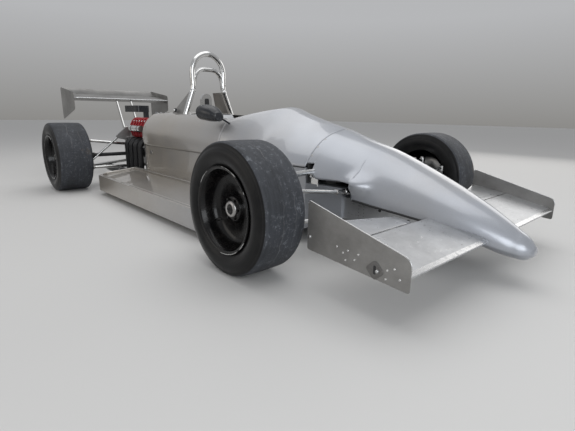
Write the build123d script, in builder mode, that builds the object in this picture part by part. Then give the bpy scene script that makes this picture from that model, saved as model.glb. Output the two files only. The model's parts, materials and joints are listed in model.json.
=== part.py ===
# Open wheel racing car: a narrow hull with a long pointed nose, low side pods,
# slick tyres on 13 inch wheels, two roll hoops and wings front and rear.
# Millimetres. +X forward, +Y to the car's left, +Z up.
# The origin is on the ground, in the middle of the overall length and width.
import os
from math import cos, radians, sin, sqrt

from build123d import *

os.makedirs("parts", exist_ok=True)

# Overall layout
nose_overhang = 890
wheelbase = 2460
rear_overhang = 1170
overall_length = nose_overhang + wheelbase + rear_overhang
nose_x = overall_length / 2
tail_x = -overall_length / 2
front_axle_x = nose_x - nose_overhang
rear_axle_x = front_axle_x - wheelbase

# Wheels and tyres
front_tyre_radius = 277
front_tyre_width = 218
front_outer_y = 858
rear_tyre_radius = 280
rear_tyre_width = 262
rear_outer_y = 925
tyre_shoulder = 18
bead_radius = 166
flange_radius = 180
rim_wall = 9
dish_depth = 62
disc_radius = 122
disc_thickness = 12
hub_radius = 24
nut_radius = 27
nut_depth = 42
bearing_clearance = 0.3

# Steering
kingpin_y = 675
kingpin_half_height = 85
steer_arm_forward = 165
steer_arm_inboard = 60
steer_arm_z = 350
rack_x = front_axle_x + 150
rack_z = 307
rack_end_y = 285
rack_radius = 14
tie_rod_radius = 9
pin_gap = 0.5

# Hull
hull_rear_x = rear_axle_x + 527
seam_z = 400
seam_gap = 0.8
floor_z = 40
hull_half_width = 350
sill_width = 58
hull_floor = 24
tub_front_x = front_axle_x + 110
cockpit_rear_x = front_axle_x - 1430
cockpit_front_x = front_axle_x + 10
footwell_x = front_axle_x - 190
cover_wall = 8
cowl_rear_x = front_axle_x - 810
apex_x = front_axle_x - 500
nose_rear_x = front_axle_x - 83
nose_length = nose_x - nose_rear_x
shut_gap = 2
seat_gap = 0.3
notch_front_x = front_axle_x + 7
notch_top_z = 420
arch_y = 262
arch_z = 352
arch_radius = 50
arch_half_length = 125
crash_box_front_x = nose_rear_x + 0.654 * nose_length
crash_box_low_z = 163
crash_box_top_z = 270

# Side pods
pod_front_x = front_axle_x - 385
pod_rear_x = rear_axle_x + 347
pod_outer_y = 686
pod_outer_z = 158
pod_inner_z = 196
pod_corner = 70
pod_recess = 12
pod_border = 26

# Roll hoops
hoop_x = cockpit_rear_x - 33
hoop_radius = 20
hoop_foot_y = 207
hoop_foot_z = 637
hoop_joint_y = 131
hoop_joint_z = 833
tall_hoop_z = 1086
hoop_drop = 111
low_hoop_z = tall_hoop_z - hoop_drop
hoop_plate_length = 190
hoop_plate_thickness = 4

# Front wing
wing_root_y = 120
flap_root_y = 290
wing_tip_y = 694
plate_thickness = 3
front_plate_rear_x = front_axle_x + 331
front_plate_front_x = nose_x - 126
front_plate_length = front_plate_front_x - front_plate_rear_x

# Rear wing
rear_wing_half_span = 498
rear_wing_front_x = tail_x + 460
rear_wing_z = 786
rear_wing_chord = 340
rear_wing_rise = 50
post_y = 75
post_thickness = 8

# Engine and gearbox
engine_front_x = hull_rear_x - seat_gap
engine_rear_x = rear_axle_x + 81
engine_length = engine_front_x - engine_rear_x
engine_half_width = 150
engine_bottom_z = 95
engine_top_z = 470
gearbox_half_width = 105
gearbox_end_x = rear_axle_x - 570
gearbox_top_z = 400
primary_radius = 21
log_pipe_radius = 34
log_pipe_y = -312
lug_bore_radius = 12.5
lug_thickness = 16
lug_reach = 34
lug_z = 250


def body_section(row, inset=0, shift=0):
    """One closed cross-section of the bodywork: a crown arc, two bulged sides and a shallow belly.

    With an inset it is the hollow inside the shell, which runs out below the lower edge.
    """
    x, top_z, ridge_y, ridge_z, edge_y, edge_z, bulge, belly_z = row
    x = x + shift
    if inset:
        top_z, ridge_z = top_z - inset, ridge_z - inset
        ridge_y, edge_y = ridge_y - inset / 2, edge_y - inset
        edge_z, belly_z = edge_z - 3 * inset, belly_z - 5 * inset
    run = sqrt((edge_y - ridge_y) ** 2 + (ridge_z - edge_z) ** 2)
    out_y = (ridge_z - edge_z) / run
    out_z = (edge_y - ridge_y) / run
    side_y = (ridge_y + edge_y) / 2 + bulge * out_y
    side_z = (ridge_z + edge_z) / 2 + bulge * out_z
    with BuildSketch(Plane.YZ.offset(x)) as section:
        with BuildLine():
            ThreePointArc((-ridge_y, ridge_z), (0, top_z), (ridge_y, ridge_z))
            ThreePointArc((ridge_y, ridge_z), (side_y, side_z), (edge_y, edge_z))
            ThreePointArc((edge_y, edge_z), (0, belly_z), (-edge_y, edge_z))
            ThreePointArc((-edge_y, edge_z), (-side_y, side_z), (-ridge_y, ridge_z))
        make_face()
    return section.sketch


def tube(start, end, radius):
    """A straight round bar between two points."""
    start, end = Vector(*start), Vector(*end)
    plane = Plane(origin=start, z_dir=(end - start).normalized())
    with BuildPart() as bar:
        with BuildSketch(plane):
            Circle(radius)
        extrude(amount=(end - start).length)
    return bar.part


def bent_tube(points, bends, radius):
    """A round tube along straight runs joined by tangent arcs, with one bend radius for each corner."""
    with BuildLine() as path:
        FilletPolyline(*points, radius=bends)
    with BuildPart() as pipe:
        with BuildSketch(Plane(origin=path.line @ 0, z_dir=path.line % 0)):
            Circle(radius)
        sweep(path=path.line)
    return pipe.part


# Columns: x, crown z, ridge half width, ridge z, lower edge half width, lower edge z, side bulge, belly z
rear_cover_rows = [
    (hull_rear_x, 642, 240, 626, 322, seam_z, 42, seam_z - 0.5),
    (hull_rear_x + 22, 651, 250, 634, 340, seam_z, 48, seam_z - 0.5),
    (hull_rear_x + 63, 654, 252, 636, 349, seam_z, 50, seam_z - 0.5),
    (hoop_x - 7, 654, 244, 636, hull_half_width, seam_z, 50, seam_z - 0.5),
    (cowl_rear_x - 310, 648, 250, 628, hull_half_width, seam_z, 40, seam_z - 0.5),
    (cowl_rear_x, 632, 262, 612, hull_half_width - 5, seam_z, 25, seam_z - 0.5),
]
# Columns: share of the way from the cowl's rear to its front, then the same
cowl_shape = [
    (0.000, 632, 262, 612, 345, seam_z, 25, seam_z - 0.5),
    (0.096, 650, 226, 632, 342, seam_z, 22, seam_z - 0.5),
    (0.193, 668, 182, 651, 338, seam_z, 19, seam_z - 0.5),
    (0.309, 685, 118, 671, 332, seam_z, 16, seam_z - 0.5),
    (0.426, 690, 56, 682, 326, seam_z, 14, seam_z - 0.5),
    (0.571, 658, 48, 651, 320, seam_z, 20, seam_z - 0.5),
    (0.715, 629, 48, 622, 314, seam_z, 28, seam_z - 0.5),
    (1.000, 578, 50, 571, 303, seam_z, 36, seam_z - 0.5),
]
# Columns: share of the way from the nose's rear to its tip, then the same
nose_shape = [
    (0.000, 578, 50, 571, 308, 345, 42, 343),
    (0.147, 536, 54, 529, 284, 300, 46, 298),
    (0.322, 488, 60, 480, 246, 264, 44, 260),
    (0.516, 416, 63, 407, 198, 236, 35, 228),
    (0.696, 341, 56, 332, 156, 208, 28, 186),
    (0.836, 275, 42, 267, 112, 170, 22, 130),
    (0.928, 222, 30, 215, 76, 150, 14, 113),
    (0.979, 188, 24, 182, 48, 141, 8, 117),
    (1.000, 162, 12, 160, 22, 143, 3, 135),
]
cowl_rows = [(cowl_rear_x + row[0] * (nose_rear_x - cowl_rear_x),) + row[1:] for row in cowl_shape]
nose_rows = [(nose_rear_x + row[0] * nose_length,) + row[1:] for row in nose_shape]

# Hull: a tub of aluminium sheet with box sills, open on top in front of the tank bay
with BuildPart() as monocoque_tub:
    with BuildSketch(Plane.XY.offset(floor_z)):
        with BuildLine():
            Polyline(
                (hull_rear_x, -322), (hull_rear_x + 63, -hull_half_width), (cowl_rear_x, -345),
                (nose_rear_x, -300), (tub_front_x, -245), (tub_front_x, 245), (nose_rear_x, 300),
                (cowl_rear_x, 345), (hull_rear_x + 63, hull_half_width), (hull_rear_x, 322), close=True)
        make_face()
    extrude(amount=seam_z - seam_gap - floor_z)
    with BuildSketch(Plane.XZ):
        with BuildLine():
            Polyline(
                (nose_rear_x, seam_z), (nose_rear_x, 322), (tub_front_x + 1, 316), (tub_front_x + 1, seam_z),
                close=True)
        make_face()
    extrude(amount=hull_half_width, both=True, mode=Mode.SUBTRACT)
    with BuildSketch(Plane.XZ):
        with BuildLine():
            Polyline(
                (footwell_x, floor_z - 1), (tub_front_x + 1, 165), (tub_front_x + 1, floor_z - 1), close=True)
        make_face()
    extrude(amount=hull_half_width, both=True, mode=Mode.SUBTRACT)
    with BuildSketch(Plane.XY.offset(floor_z + hull_floor)):
        with BuildLine():
            Polyline(
                (cockpit_rear_x, sill_width - 345), (cowl_rear_x, sill_width - 345),
                (footwell_x, sill_width - 305), (footwell_x, 305 - sill_width),
                (cowl_rear_x, 345 - sill_width), (cockpit_rear_x, 345 - sill_width), close=True)
        make_face()
    extrude(amount=seam_z, mode=Mode.SUBTRACT)
    with BuildSketch(Plane.XY.offset(175)):
        with BuildLine():
            Polyline(
                (footwell_x - 1, sill_width - 300), (cockpit_front_x, sill_width - 262),
                (cockpit_front_x, 262 - sill_width), (footwell_x - 1, 300 - sill_width), close=True)
        make_face()
    extrude(amount=seam_z, mode=Mode.SUBTRACT)
monocoque_tub.part.label = "monocoque_tub"
export_step(monocoque_tub.part, "parts/monocoque_tub.step")

# Rear cover: a glass fibre shell over the tank bay and around the seat
with BuildPart() as rear_cover:
    loft(sections=[body_section(row) for row in rear_cover_rows], ruled=True)
    hollow = [body_section(row, cover_wall) for row in rear_cover_rows[1:-1]]
    hollow.append(body_section(rear_cover_rows[-1], cover_wall, shift=5))
    loft(sections=hollow, ruled=True, mode=Mode.SUBTRACT)
    with BuildSketch(Plane.XY.offset(seam_z - 5)):
        with BuildLine():
            Polyline(
                (cockpit_rear_x, -205), (cockpit_rear_x + 120, -228), (cowl_rear_x + 1, -250),
                (cowl_rear_x + 1, 250), (cockpit_rear_x + 120, 228), (cockpit_rear_x, 205), close=True)
        make_face()
    extrude(amount=400, mode=Mode.SUBTRACT)
    lean = (hoop_foot_y - hoop_joint_y) / (hoop_joint_z - hoop_foot_z)
    for side in (-1, 1):
        foot = (hoop_x, side * (hoop_foot_y + lean * (hoop_foot_z - seam_z)), seam_z - seam_gap)
        joint = (hoop_x, side * hoop_joint_y, hoop_joint_z)
        add(tube(foot, joint, hoop_radius + 0.5), mode=Mode.SUBTRACT)
rear_cover.part.label = "rear_cover"
export_step(rear_cover.part, "parts/rear_cover.step")

# Cockpit cover: the raised cowl in front of the driver, cut back in a wedge to its peak
with BuildPart() as cockpit_cover:
    loft(sections=[body_section(row) for row in cowl_rows], ruled=True)
    loft(sections=[body_section(row, cover_wall) for row in cowl_rows], ruled=True, mode=Mode.SUBTRACT)
    with BuildSketch(Plane.XY.offset(seam_z - 5)):
        with BuildLine():
            Polyline(
                (cowl_rear_x - 1, -250), (apex_x - 170, -172), (apex_x - 22, -52),
                (apex_x - 22, 52), (apex_x - 170, 172), (cowl_rear_x - 1, 250), close=True)
        make_face()
    extrude(amount=400, mode=Mode.SUBTRACT)
    split(bisect_by=Plane.YZ.offset(cowl_rear_x + shut_gap), keep=Keep.TOP)
    split(bisect_by=Plane.YZ.offset(nose_rear_x - shut_gap), keep=Keep.BOTTOM)
cockpit_cover.part.label = "cockpit_cover"
export_step(cockpit_cover.part, "parts/cockpit_cover.step")

# The bay under the nose that the crash box fills
with BuildPart() as crash_bay:
    with BuildSketch(Plane.XY.offset(crash_box_low_z - 13)):
        with BuildLine():
            Polyline(
                (tub_front_x, -226), (crash_box_front_x + shut_gap, -146),
                (crash_box_front_x + shut_gap, 146), (tub_front_x, 226), close=True)
        make_face()
    extrude(amount=crash_box_top_z - crash_box_low_z + 13)

# Nose cone: glass fibre, hollow below over the crash box, with an arch over each steering rod
with BuildPart() as nose_cone:
    loft(sections=[body_section(row) for row in nose_rows], ruled=True)
    for side in (-1, 1):
        arch = Plane(origin=(rack_x + 20, side * arch_y, arch_z), x_dir=(1, 0, 0), z_dir=(0, 0, 1))
        with BuildSketch(arch):
            with BuildLine():
                ThreePointArc((-arch_half_length, 0), (0, -side * arch_radius), (arch_half_length, 0))
                Line((arch_half_length, 0), (-arch_half_length, 0))
            make_face()
        revolve(axis=Axis(arch.origin, (1, 0, 0)))
    with BuildSketch(Plane.XZ):
        with BuildLine():
            Polyline((nose_rear_x - 1, 200), (nose_rear_x - 1, notch_top_z), (notch_front_x, notch_top_z),
                     (notch_front_x, 348), (rack_x + 40, 348), (rack_x + 40, 200), close=True)
        make_face()
    extrude(amount=hull_half_width, both=True, mode=Mode.SUBTRACT)
    add(crash_bay.part, mode=Mode.SUBTRACT)
nose_cone.part.label = "nose_cone"
export_step(nose_cone.part, "parts/nose_cone.step")

# Crash box: riveted aluminium sheet below the nose, which carries the nose and the front wing
with BuildPart() as crash_box:
    with BuildSketch(Plane.XY.offset(crash_box_low_z)):
        with BuildLine():
            Polyline(
                (tub_front_x + seat_gap, -224), (crash_box_front_x, -144), (crash_box_front_x, 144),
                (tub_front_x + seat_gap, 224), close=True)
        make_face()
    extrude(amount=crash_box_top_z - crash_box_low_z)
    for y in (-120, 120):
        with Locations((rack_x, y, (crash_box_top_z + rack_z + 24) / 2)):
            Box(48, 30, rack_z + 24 - crash_box_top_z)
    add(tube((rack_x, -rack_end_y, rack_z), (rack_x, rack_end_y, rack_z), rack_radius + bearing_clearance),
        mode=Mode.SUBTRACT)
crash_box.part.label = "crash_box"
export_step(crash_box.part, "parts/crash_box.step")

# Side pods: low and flat, with a raised outer edge and a cut rear corner
for side, name in ((-1, "side_pod_right"), (1, "side_pod_left")):
    inner = hull_half_width + seat_gap
    with BuildPart() as side_pod:
        with BuildSketch(Plane.XY.offset(floor_z)):
            with BuildLine():
                Polyline(
                    (pod_rear_x, side * inner), (pod_rear_x, side * (pod_outer_y - pod_corner)),
                    (pod_rear_x + pod_corner, side * pod_outer_y), (pod_front_x - 60, side * pod_outer_y),
                    (pod_front_x, side * (pod_outer_y - 80)), (pod_front_x, side * inner), close=True)
            make_face()
        extrude(amount=pod_inner_z - floor_z)
        with BuildSketch(Plane.YZ.offset(pod_rear_x - 1)):
            with BuildLine():
                Polyline(
                    (side * (inner - 1), pod_inner_z), (side * pod_outer_y, pod_outer_z),
                    (side * (pod_outer_y + 1), pod_inner_z + 1), (side * (inner - 1), pod_inner_z + 1),
                    close=True)
            make_face()
        extrude(amount=pod_front_x - pod_rear_x + 2, mode=Mode.SUBTRACT)
        slope = Vector(0, side * (pod_outer_y - inner), pod_outer_z - pod_inner_z)
        top = Plane(
            origin=(0, side * inner, pod_inner_z), x_dir=(1, 0, 0), z_dir=Vector(side, 0, 0).cross(slope))
        across = slope.length
        with BuildSketch(top):
            with BuildLine():
                Polyline(
                    (pod_rear_x + pod_border, side * pod_border),
                    (pod_rear_x + pod_border, side * (across - pod_corner - 10)),
                    (pod_rear_x + pod_corner + 10, side * (across - pod_border)),
                    (pod_front_x - 70, side * (across - pod_border)),
                    (pod_front_x - pod_border, side * (across - 88)),
                    (pod_front_x - pod_border, side * pod_border), close=True)
            make_face()
        extrude(amount=-pod_recess, mode=Mode.SUBTRACT)
    side_pod.part.label = name
    export_step(side_pod.part, f"parts/{name}.step")

# Roll hoops: two bent tubes that share their legs
hoop_leg = Vector(0, hoop_joint_y - hoop_foot_y, hoop_joint_z - hoop_foot_z).normalized()
foot_drop = (hoop_foot_z - seam_z + seam_gap) / hoop_leg.Z
foot_y = hoop_foot_y - hoop_leg.Y * foot_drop
tall_half = hoop_joint_y + 9
low_half = hoop_joint_y - 26
tall_bend = 0.55 * (tall_hoop_z - hoop_joint_z)
low_bend = 0.67 * (low_hoop_z - hoop_joint_z)
tall_line = (
    (-foot_y, seam_z - seam_gap), (-hoop_joint_y, hoop_joint_z), (-tall_half, tall_hoop_z),
    (tall_half, tall_hoop_z), (hoop_joint_y, hoop_joint_z), (foot_y, seam_z - seam_gap))
low_line = (
    (-hoop_joint_y, hoop_joint_z), (-low_half, low_hoop_z), (low_half, low_hoop_z),
    (hoop_joint_y, hoop_joint_z))
with BuildPart() as roll_hoops:
    add(bent_tube([(hoop_x, y, z) for y, z in tall_line], (120, tall_bend, tall_bend, 120), hoop_radius))
    add(bent_tube([(hoop_x, y, z) for y, z in low_line], (low_bend, low_bend), hoop_radius - 4))
    split(bisect_by=Plane.XY.offset(seam_z - seam_gap), keep=Keep.TOP)
roll_hoops.part.label = "roll_hoops"
export_step(roll_hoops.part, "parts/roll_hoops.step")

# Hoop plates: a sheet behind each leg, cut to a triangle on the right and wide at its top on the left
with BuildPart() as hoop_plates:
    for side, top_length in ((-1, 16), (1, 140)):
        leg = Vector(0, side * hoop_leg.Y, hoop_leg.Z)
        foot = Vector(hoop_x - hoop_radius - pin_gap, side * hoop_foot_y, hoop_foot_z)
        plate = Plane(origin=foot, x_dir=(-1, 0, 0), z_dir=leg.cross(Vector(1, 0, 0)))
        rise = 190 * (1 if plate.y_dir.Z > 0 else -1)
        with BuildSketch(plate):
            with BuildLine():
                Polyline((0, 0), (hoop_plate_length, 0), (hoop_plate_length, rise * 0.08),
                         (top_length, rise), (0, rise), close=True)
            make_face()
        extrude(amount=hoop_plate_thickness / 2, both=True)
    add(rear_cover.part, mode=Mode.SUBTRACT)
hoop_plates.part.label = "hoop_plates"
export_step(hoop_plates.part, "parts/hoop_plates.step")

# Seat: a moulded shell with low sides, leaning back from the front of the cockpit's rear wall
seat_half_width = 205
seat_wall = 12
seat_x = cockpit_rear_x + 8
seat_z = floor_z + hull_floor + seat_gap
with BuildPart() as seat:
    with BuildSketch(Plane.XZ):
        with BuildLine():
            FilletPolyline(
                (seat_x, 560), (seat_x + 140, 96), (seat_x + 382, seat_z), (seat_x + 572, 86),
                (seat_x + 572, 86 + seat_wall), (seat_x + 382, seat_z + seat_wall),
                (seat_x + 148, 96 + seat_wall), (seat_x + seat_wall, 560), radius=3, close=True)
        make_face()
    extrude(amount=seat_half_width, both=True)
    for side in (-1, 1):
        with BuildSketch(Plane.XZ.offset(side * (seat_half_width - seat_wall / 2))):
            with BuildLine():
                Polyline(
                    (seat_x + 12, 520), (seat_x + 142, 96), (seat_x + 382, seat_z + 2), (seat_x + 552, 88),
                    (seat_x + 482, 190), (seat_x + 262, 250), (seat_x + 112, 540), close=True)
            make_face()
        extrude(amount=seat_wall / 2, both=True)
seat.part.label = "seat"
export_step(seat.part, "parts/seat.step")

# Deck: a polished sheet between the feet of the hoops
with BuildPart() as hoop_deck:
    with BuildSketch(Plane.XZ):
        with BuildLine():
            Polyline(
                (cockpit_rear_x + 0.3, 648), (cockpit_rear_x + 70, 575), (cockpit_rear_x + 70, 571),
                (cockpit_rear_x + 0.3, 644), close=True)
        make_face()
    extrude(amount=190, both=True)
hoop_deck.part.label = "hoop_deck"
export_step(hoop_deck.part, "parts/hoop_deck.step")

# Headrest: a polished bent frame with a pad, on the rear cover
with BuildPart() as headrest:
    with BuildSketch(Plane.YZ.offset(hoop_x - 57)):
        with BuildLine():
            Polyline((-45, 756), (-45, 648), (45, 648), (45, 756))
            ThreePointArc((45, 756), (0, 800), (-45, 756))
        make_face()
    extrude(amount=28)
    add(rear_cover.part, mode=Mode.SUBTRACT)
headrest.part.label = "headrest"
export_step(headrest.part, "parts/headrest.step")

# Steering column: its line, from the wheel's centre down to the dash
column_angle = 17
column_radius = 14
column_length = 275
wheel_centre = Vector(front_axle_x - 760, 0, 535)
column_dir = Vector(-cos(radians(column_angle)), 0, sin(radians(column_angle)))
steering_plane = Plane(origin=wheel_centre, x_dir=(0, 1, 0), z_dir=column_dir)

# Dash: the front hoop's panel, standing on the sills, with the column's bush
dash_x = apex_x - 34
bush_at = (dash_x - wheel_centre.X) / cos(radians(column_angle))
with BuildPart() as dash_panel:
    with BuildSketch(Plane.YZ.offset(dash_x)):
        with BuildLine():
            Polyline(
                (-46, 644), (46, 644), (250, 450), (296, seam_z - seam_gap), (255, seam_z - seam_gap),
                (200, 455), (-200, 455), (-255, seam_z - seam_gap), (-296, seam_z - seam_gap), (-250, 450),
                close=True)
        make_face()
    extrude(amount=6)
    add(tube(wheel_centre - column_dir * (bush_at - 10), wheel_centre - column_dir * (bush_at + 18), 26))
    add(tube(wheel_centre, wheel_centre - column_dir * (column_length + 20),
             column_radius + bearing_clearance), mode=Mode.SUBTRACT)
dash_panel.part.label = "dash_panel"
export_step(dash_panel.part, "parts/dash_panel.step")

# Steering wheel and its column, turned about the column's line
with BuildPart() as steering_wheel:
    rim_plane = Plane(origin=wheel_centre + Vector(0, 122, 0), x_dir=(0, 1, 0), z_dir=steering_plane.y_dir)
    with BuildSketch(rim_plane):
        Circle(14)
    revolve(axis=Axis(wheel_centre, column_dir))
    with BuildSketch(steering_plane):
        Circle(34)
        Rectangle(244, 24)
        with Locations((0, -61)):
            Rectangle(24, 122)
        with Locations((0, 61)):
            Rectangle(24, 122)
    extrude(amount=3, both=True)
    add(tube(wheel_centre, wheel_centre - column_dir * column_length, column_radius))
steering_wheel.part.label = "steering_wheel"
export_step(steering_wheel.part, "parts/steering_wheel.step")

# Mirrors: a tapered shell on a short stalk at each side of the cockpit
# Columns: place behind or ahead of the mirror's middle, half width, half height, y and z of the centre
mirror_x = cowl_rear_x - 57
mirror_rows = ((-70, 60, 45, 364, 660), (0, 57, 47, 362, 656), (90, 12, 12, 350, 636))
with BuildPart() as mirrors:
    for side in (-1, 1):
        for along, half_y, half_z, y, z in mirror_rows:
            with BuildSketch(Plane.YZ.offset(mirror_x + along)):
                with Locations((side * y, z)):
                    Ellipse(half_y, half_z)
        loft()
        add(tube((mirror_x + 76, side * 350, 636), (cowl_rear_x + 30, side * 267, 588), 7))
    add(cockpit_cover.part, mode=Mode.SUBTRACT)
mirrors.part.label = "mirrors"
export_step(mirrors.part, "parts/mirrors.step")


def wing_profile(front_x, front_z, rear_x, rear_z, nose, upper, lower, y):
    """A closed wing section: a round nose of that radius, bowed above and below to a sharp rear edge."""
    middle_x, middle_z = (front_x + rear_x) / 2, (front_z + rear_z) / 2
    with BuildSketch(Plane.XZ.offset(-y)) as section:
        with BuildLine():
            low_front, high_front = (front_x - nose, front_z - nose), (front_x - nose, front_z + nose)
            ThreePointArc(low_front, (front_x, front_z), high_front)
            ThreePointArc(high_front, (middle_x, middle_z + upper), (rear_x, rear_z))
            ThreePointArc((rear_x, rear_z), (middle_x, middle_z - lower), low_front)
        make_face()
    return section.sketch


# Front wings: a flat cambered plane each side of the nose, and behind it a flap that widens to the tip
# Columns: share of the end plate's length from its front, height, for the front and the rear of a section
wing_root = (0.004, 183, 0.555, 241)
wing_tip = (0.004, 185, 0.555, 243)
flap_root = (0.574, 240, 0.765, 249)
flap_tip = (0.574, 240, 0.996, 268)
for name, root, tip, root_y, nose, upper, lower in (
        ("front_wings", wing_root, wing_tip, wing_root_y, 9, 8, 16),
        ("front_flaps", flap_root, flap_tip, flap_root_y, 5, 5, 7)):
    with BuildPart() as plane_pair:
        for side in (-1, 1):
            sections = []
            for (front, front_z, rear, rear_z), y in ((root, root_y), (tip, wing_tip_y)):
                sections.append(wing_profile(
                    front_plate_front_x - front * front_plate_length, front_z,
                    front_plate_front_x - rear * front_plate_length, rear_z, nose, upper, lower, side * y))
            loft(sections=sections)
        add(nose_cone.part, mode=Mode.SUBTRACT)
        add(crash_bay.part, mode=Mode.SUBTRACT)
    plane_pair.part.label = name
    export_step(plane_pair.part, f"parts/{name}.step")

with BuildPart() as front_end_plates:
    for side in (-1, 1):
        with BuildSketch(Plane.XZ.offset(-side * (wing_tip_y + plate_thickness / 2))):
            with BuildLine():
                Polyline(
                    (front_plate_rear_x, 170), (front_plate_rear_x, 358),
                    (front_plate_front_x - 0.083 * front_plate_length, 256),
                    (front_plate_front_x, 226), (front_plate_front_x, 138), close=True)
            make_face()
        extrude(amount=plate_thickness / 2, both=True)
front_end_plates.part.label = "front_end_plates"
export_step(front_end_plates.part, "parts/front_end_plates.step")

# Rear wing: a cambered plane and its flap between two end plates, on two posts
wing_rear_x = rear_wing_front_x - rear_wing_chord
wing_rear_z = rear_wing_z + rear_wing_rise
wing_middle_x = rear_wing_front_x - 0.44 * rear_wing_chord
flap_front = (wing_rear_x + 8, wing_rear_z + 6)
flap_rear = (tail_x + 14, wing_rear_z + 60)
flap_middle_x = (flap_front[0] + flap_rear[0]) / 2
with BuildPart() as rear_wing:
    with BuildSketch(Plane.XZ):
        with BuildLine():
            ThreePointArc(
                (rear_wing_front_x, rear_wing_z), (wing_middle_x, rear_wing_z + 26),
                (wing_rear_x, wing_rear_z))
            Line((wing_rear_x, wing_rear_z), (wing_rear_x, wing_rear_z - 4))
            ThreePointArc(
                (wing_rear_x, wing_rear_z - 4), (wing_middle_x, rear_wing_z - 26),
                (rear_wing_front_x, rear_wing_z))
        make_face()
        with BuildLine():
            ThreePointArc(flap_front, (flap_middle_x, wing_rear_z + 22), flap_rear)
            ThreePointArc(flap_rear, (flap_middle_x, wing_rear_z + 8), flap_front)
        make_face()
    extrude(amount=rear_wing_half_span, both=True)
rear_wing.part.label = "rear_wing"
export_step(rear_wing.part, "parts/rear_wing.step")

with BuildPart() as rear_end_plates:
    for side in (-1, 1):
        with BuildSketch(Plane.XZ.offset(-side * (rear_wing_half_span + plate_thickness / 2))):
            with BuildLine():
                FilletPolyline(
                    (rear_wing_front_x - 3, rear_wing_z - 114), (rear_wing_front_x - 3, rear_wing_z + 52),
                    (tail_x, wing_rear_z + 66), (tail_x, rear_wing_z - 220), radius=14, close=True)
            make_face()
        extrude(amount=plate_thickness / 2, both=True)
rear_end_plates.part.label = "rear_end_plates"
export_step(rear_end_plates.part, "parts/rear_end_plates.step")

# Gearbox: the cast case behind the engine, with a towing lug at its end
with BuildPart() as gearbox:
    for x, half_y, low, high in (
            (engine_rear_x, 140, 130, 450), (rear_axle_x + 40, gearbox_half_width, 150, 420),
            (rear_axle_x - 240, gearbox_half_width, 160, 405), (gearbox_end_x, 85, 190, gearbox_top_z)):
        with BuildSketch(Plane.YZ.offset(x)):
            with Locations((0, (low + high) / 2)):
                RectangleRounded(2 * half_y, high - low, 30)
    loft(ruled=True)
    with BuildSketch(Plane.XZ):
        with Locations((gearbox_end_x - lug_reach, lug_z)):
            Circle(2 * lug_bore_radius)
        with Locations((gearbox_end_x - lug_reach / 2 + 1, lug_z)):
            Rectangle(lug_reach + 2, 4 * lug_bore_radius)
        with Locations((gearbox_end_x - lug_reach, lug_z)):
            Circle(lug_bore_radius, mode=Mode.SUBTRACT)
    extrude(amount=lug_thickness / 2, both=True)
gearbox.part.label = "gearbox"
export_step(gearbox.part, "parts/gearbox.step")

with BuildPart() as wing_posts:
    for side in (-1, 1):
        with BuildSketch(Plane.XZ.offset(-side * post_y)):
            with BuildLine():
                Polyline(
                    (gearbox_end_x + 62, gearbox_top_z - 20), (gearbox_end_x + 12, gearbox_top_z - 20),
                    (rear_wing_front_x - 58, rear_wing_z), (rear_wing_front_x - 24, rear_wing_z),
                    close=True)
            make_face()
        extrude(amount=post_thickness / 2, both=True)
    add(rear_wing.part, mode=Mode.SUBTRACT)
    add(gearbox.part, mode=Mode.SUBTRACT)
    split(bisect_by=Plane.XY.offset(gearbox_top_z - 5), keep=Keep.TOP)
wing_posts.part.label = "wing_posts"
export_step(wing_posts.part, "parts/wing_posts.step")

# Engine: a plain block, with its leaning head cover, intake box and exhaust in the open
with BuildPart() as engine_block:
    with Locations(((engine_front_x + engine_rear_x) / 2, 0, (engine_bottom_z + engine_top_z) / 2)):
        Box(engine_length, 2 * engine_half_width, engine_top_z - engine_bottom_z)
engine_block.part.label = "engine_block"
export_step(engine_block.part, "parts/engine_block.step")

cover_low_z = engine_top_z - 25
with BuildPart() as cam_covers:
    with BuildSketch(Plane.YZ.offset(engine_front_x - 40)):
        with BuildLine():
            FilletPolyline(
                (-engine_half_width - pin_gap, cover_low_z), (-engine_half_width - 120, cover_low_z - 5),
                (-engine_half_width - 140, engine_top_z + 60), (-engine_half_width - 90, engine_top_z + 130),
                (-engine_half_width + 40, engine_top_z + 100),
                (-engine_half_width + 60, engine_top_z + pin_gap),
                (-engine_half_width - pin_gap, engine_top_z + pin_gap), radius=8, close=True)
        make_face()
    extrude(amount=-(engine_length - 80))
    add(engine_block.part, mode=Mode.SUBTRACT)
cam_covers.part.label = "cam_covers"
export_step(cam_covers.part, "parts/cam_covers.step")

with BuildPart() as exhaust:
    for cylinder in range(4):
        x = engine_front_x - 90 - 95 * cylinder
        add(bent_tube(
            ((x, -engine_half_width, 418), (x, -338, 418), (x - 62, log_pipe_y, 104)), (52,), primary_radius))
    add(tube((engine_front_x - 110, log_pipe_y, 104), (rear_axle_x - 450, log_pipe_y, 112), log_pipe_radius))
exhaust.part.label = "exhaust"
export_step(exhaust.part, "parts/exhaust.step")

# Intake: a flat black box behind the head cover, on a post from the engine's rear edge
intake_length, intake_width, intake_height = 300, 120, 57
intake_y = -160
intake_z = engine_top_z + 213
post_length = 30
with BuildPart() as intake:
    with Locations((engine_rear_x - 91, intake_y, intake_z)):
        Box(intake_length, intake_width, intake_height)
    fillet(intake.edges().filter_by(Axis.Z), radius=25)
    with BuildSketch(Plane.XY.offset(engine_top_z)):
        with Locations((engine_rear_x + 4 + post_length / 2, intake_y + 38)):
            RectangleRounded(post_length, 45, 8)
    extrude(amount=intake_z - engine_top_z)
intake.part.label = "intake"
export_step(intake.part, "parts/intake.step")

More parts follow.
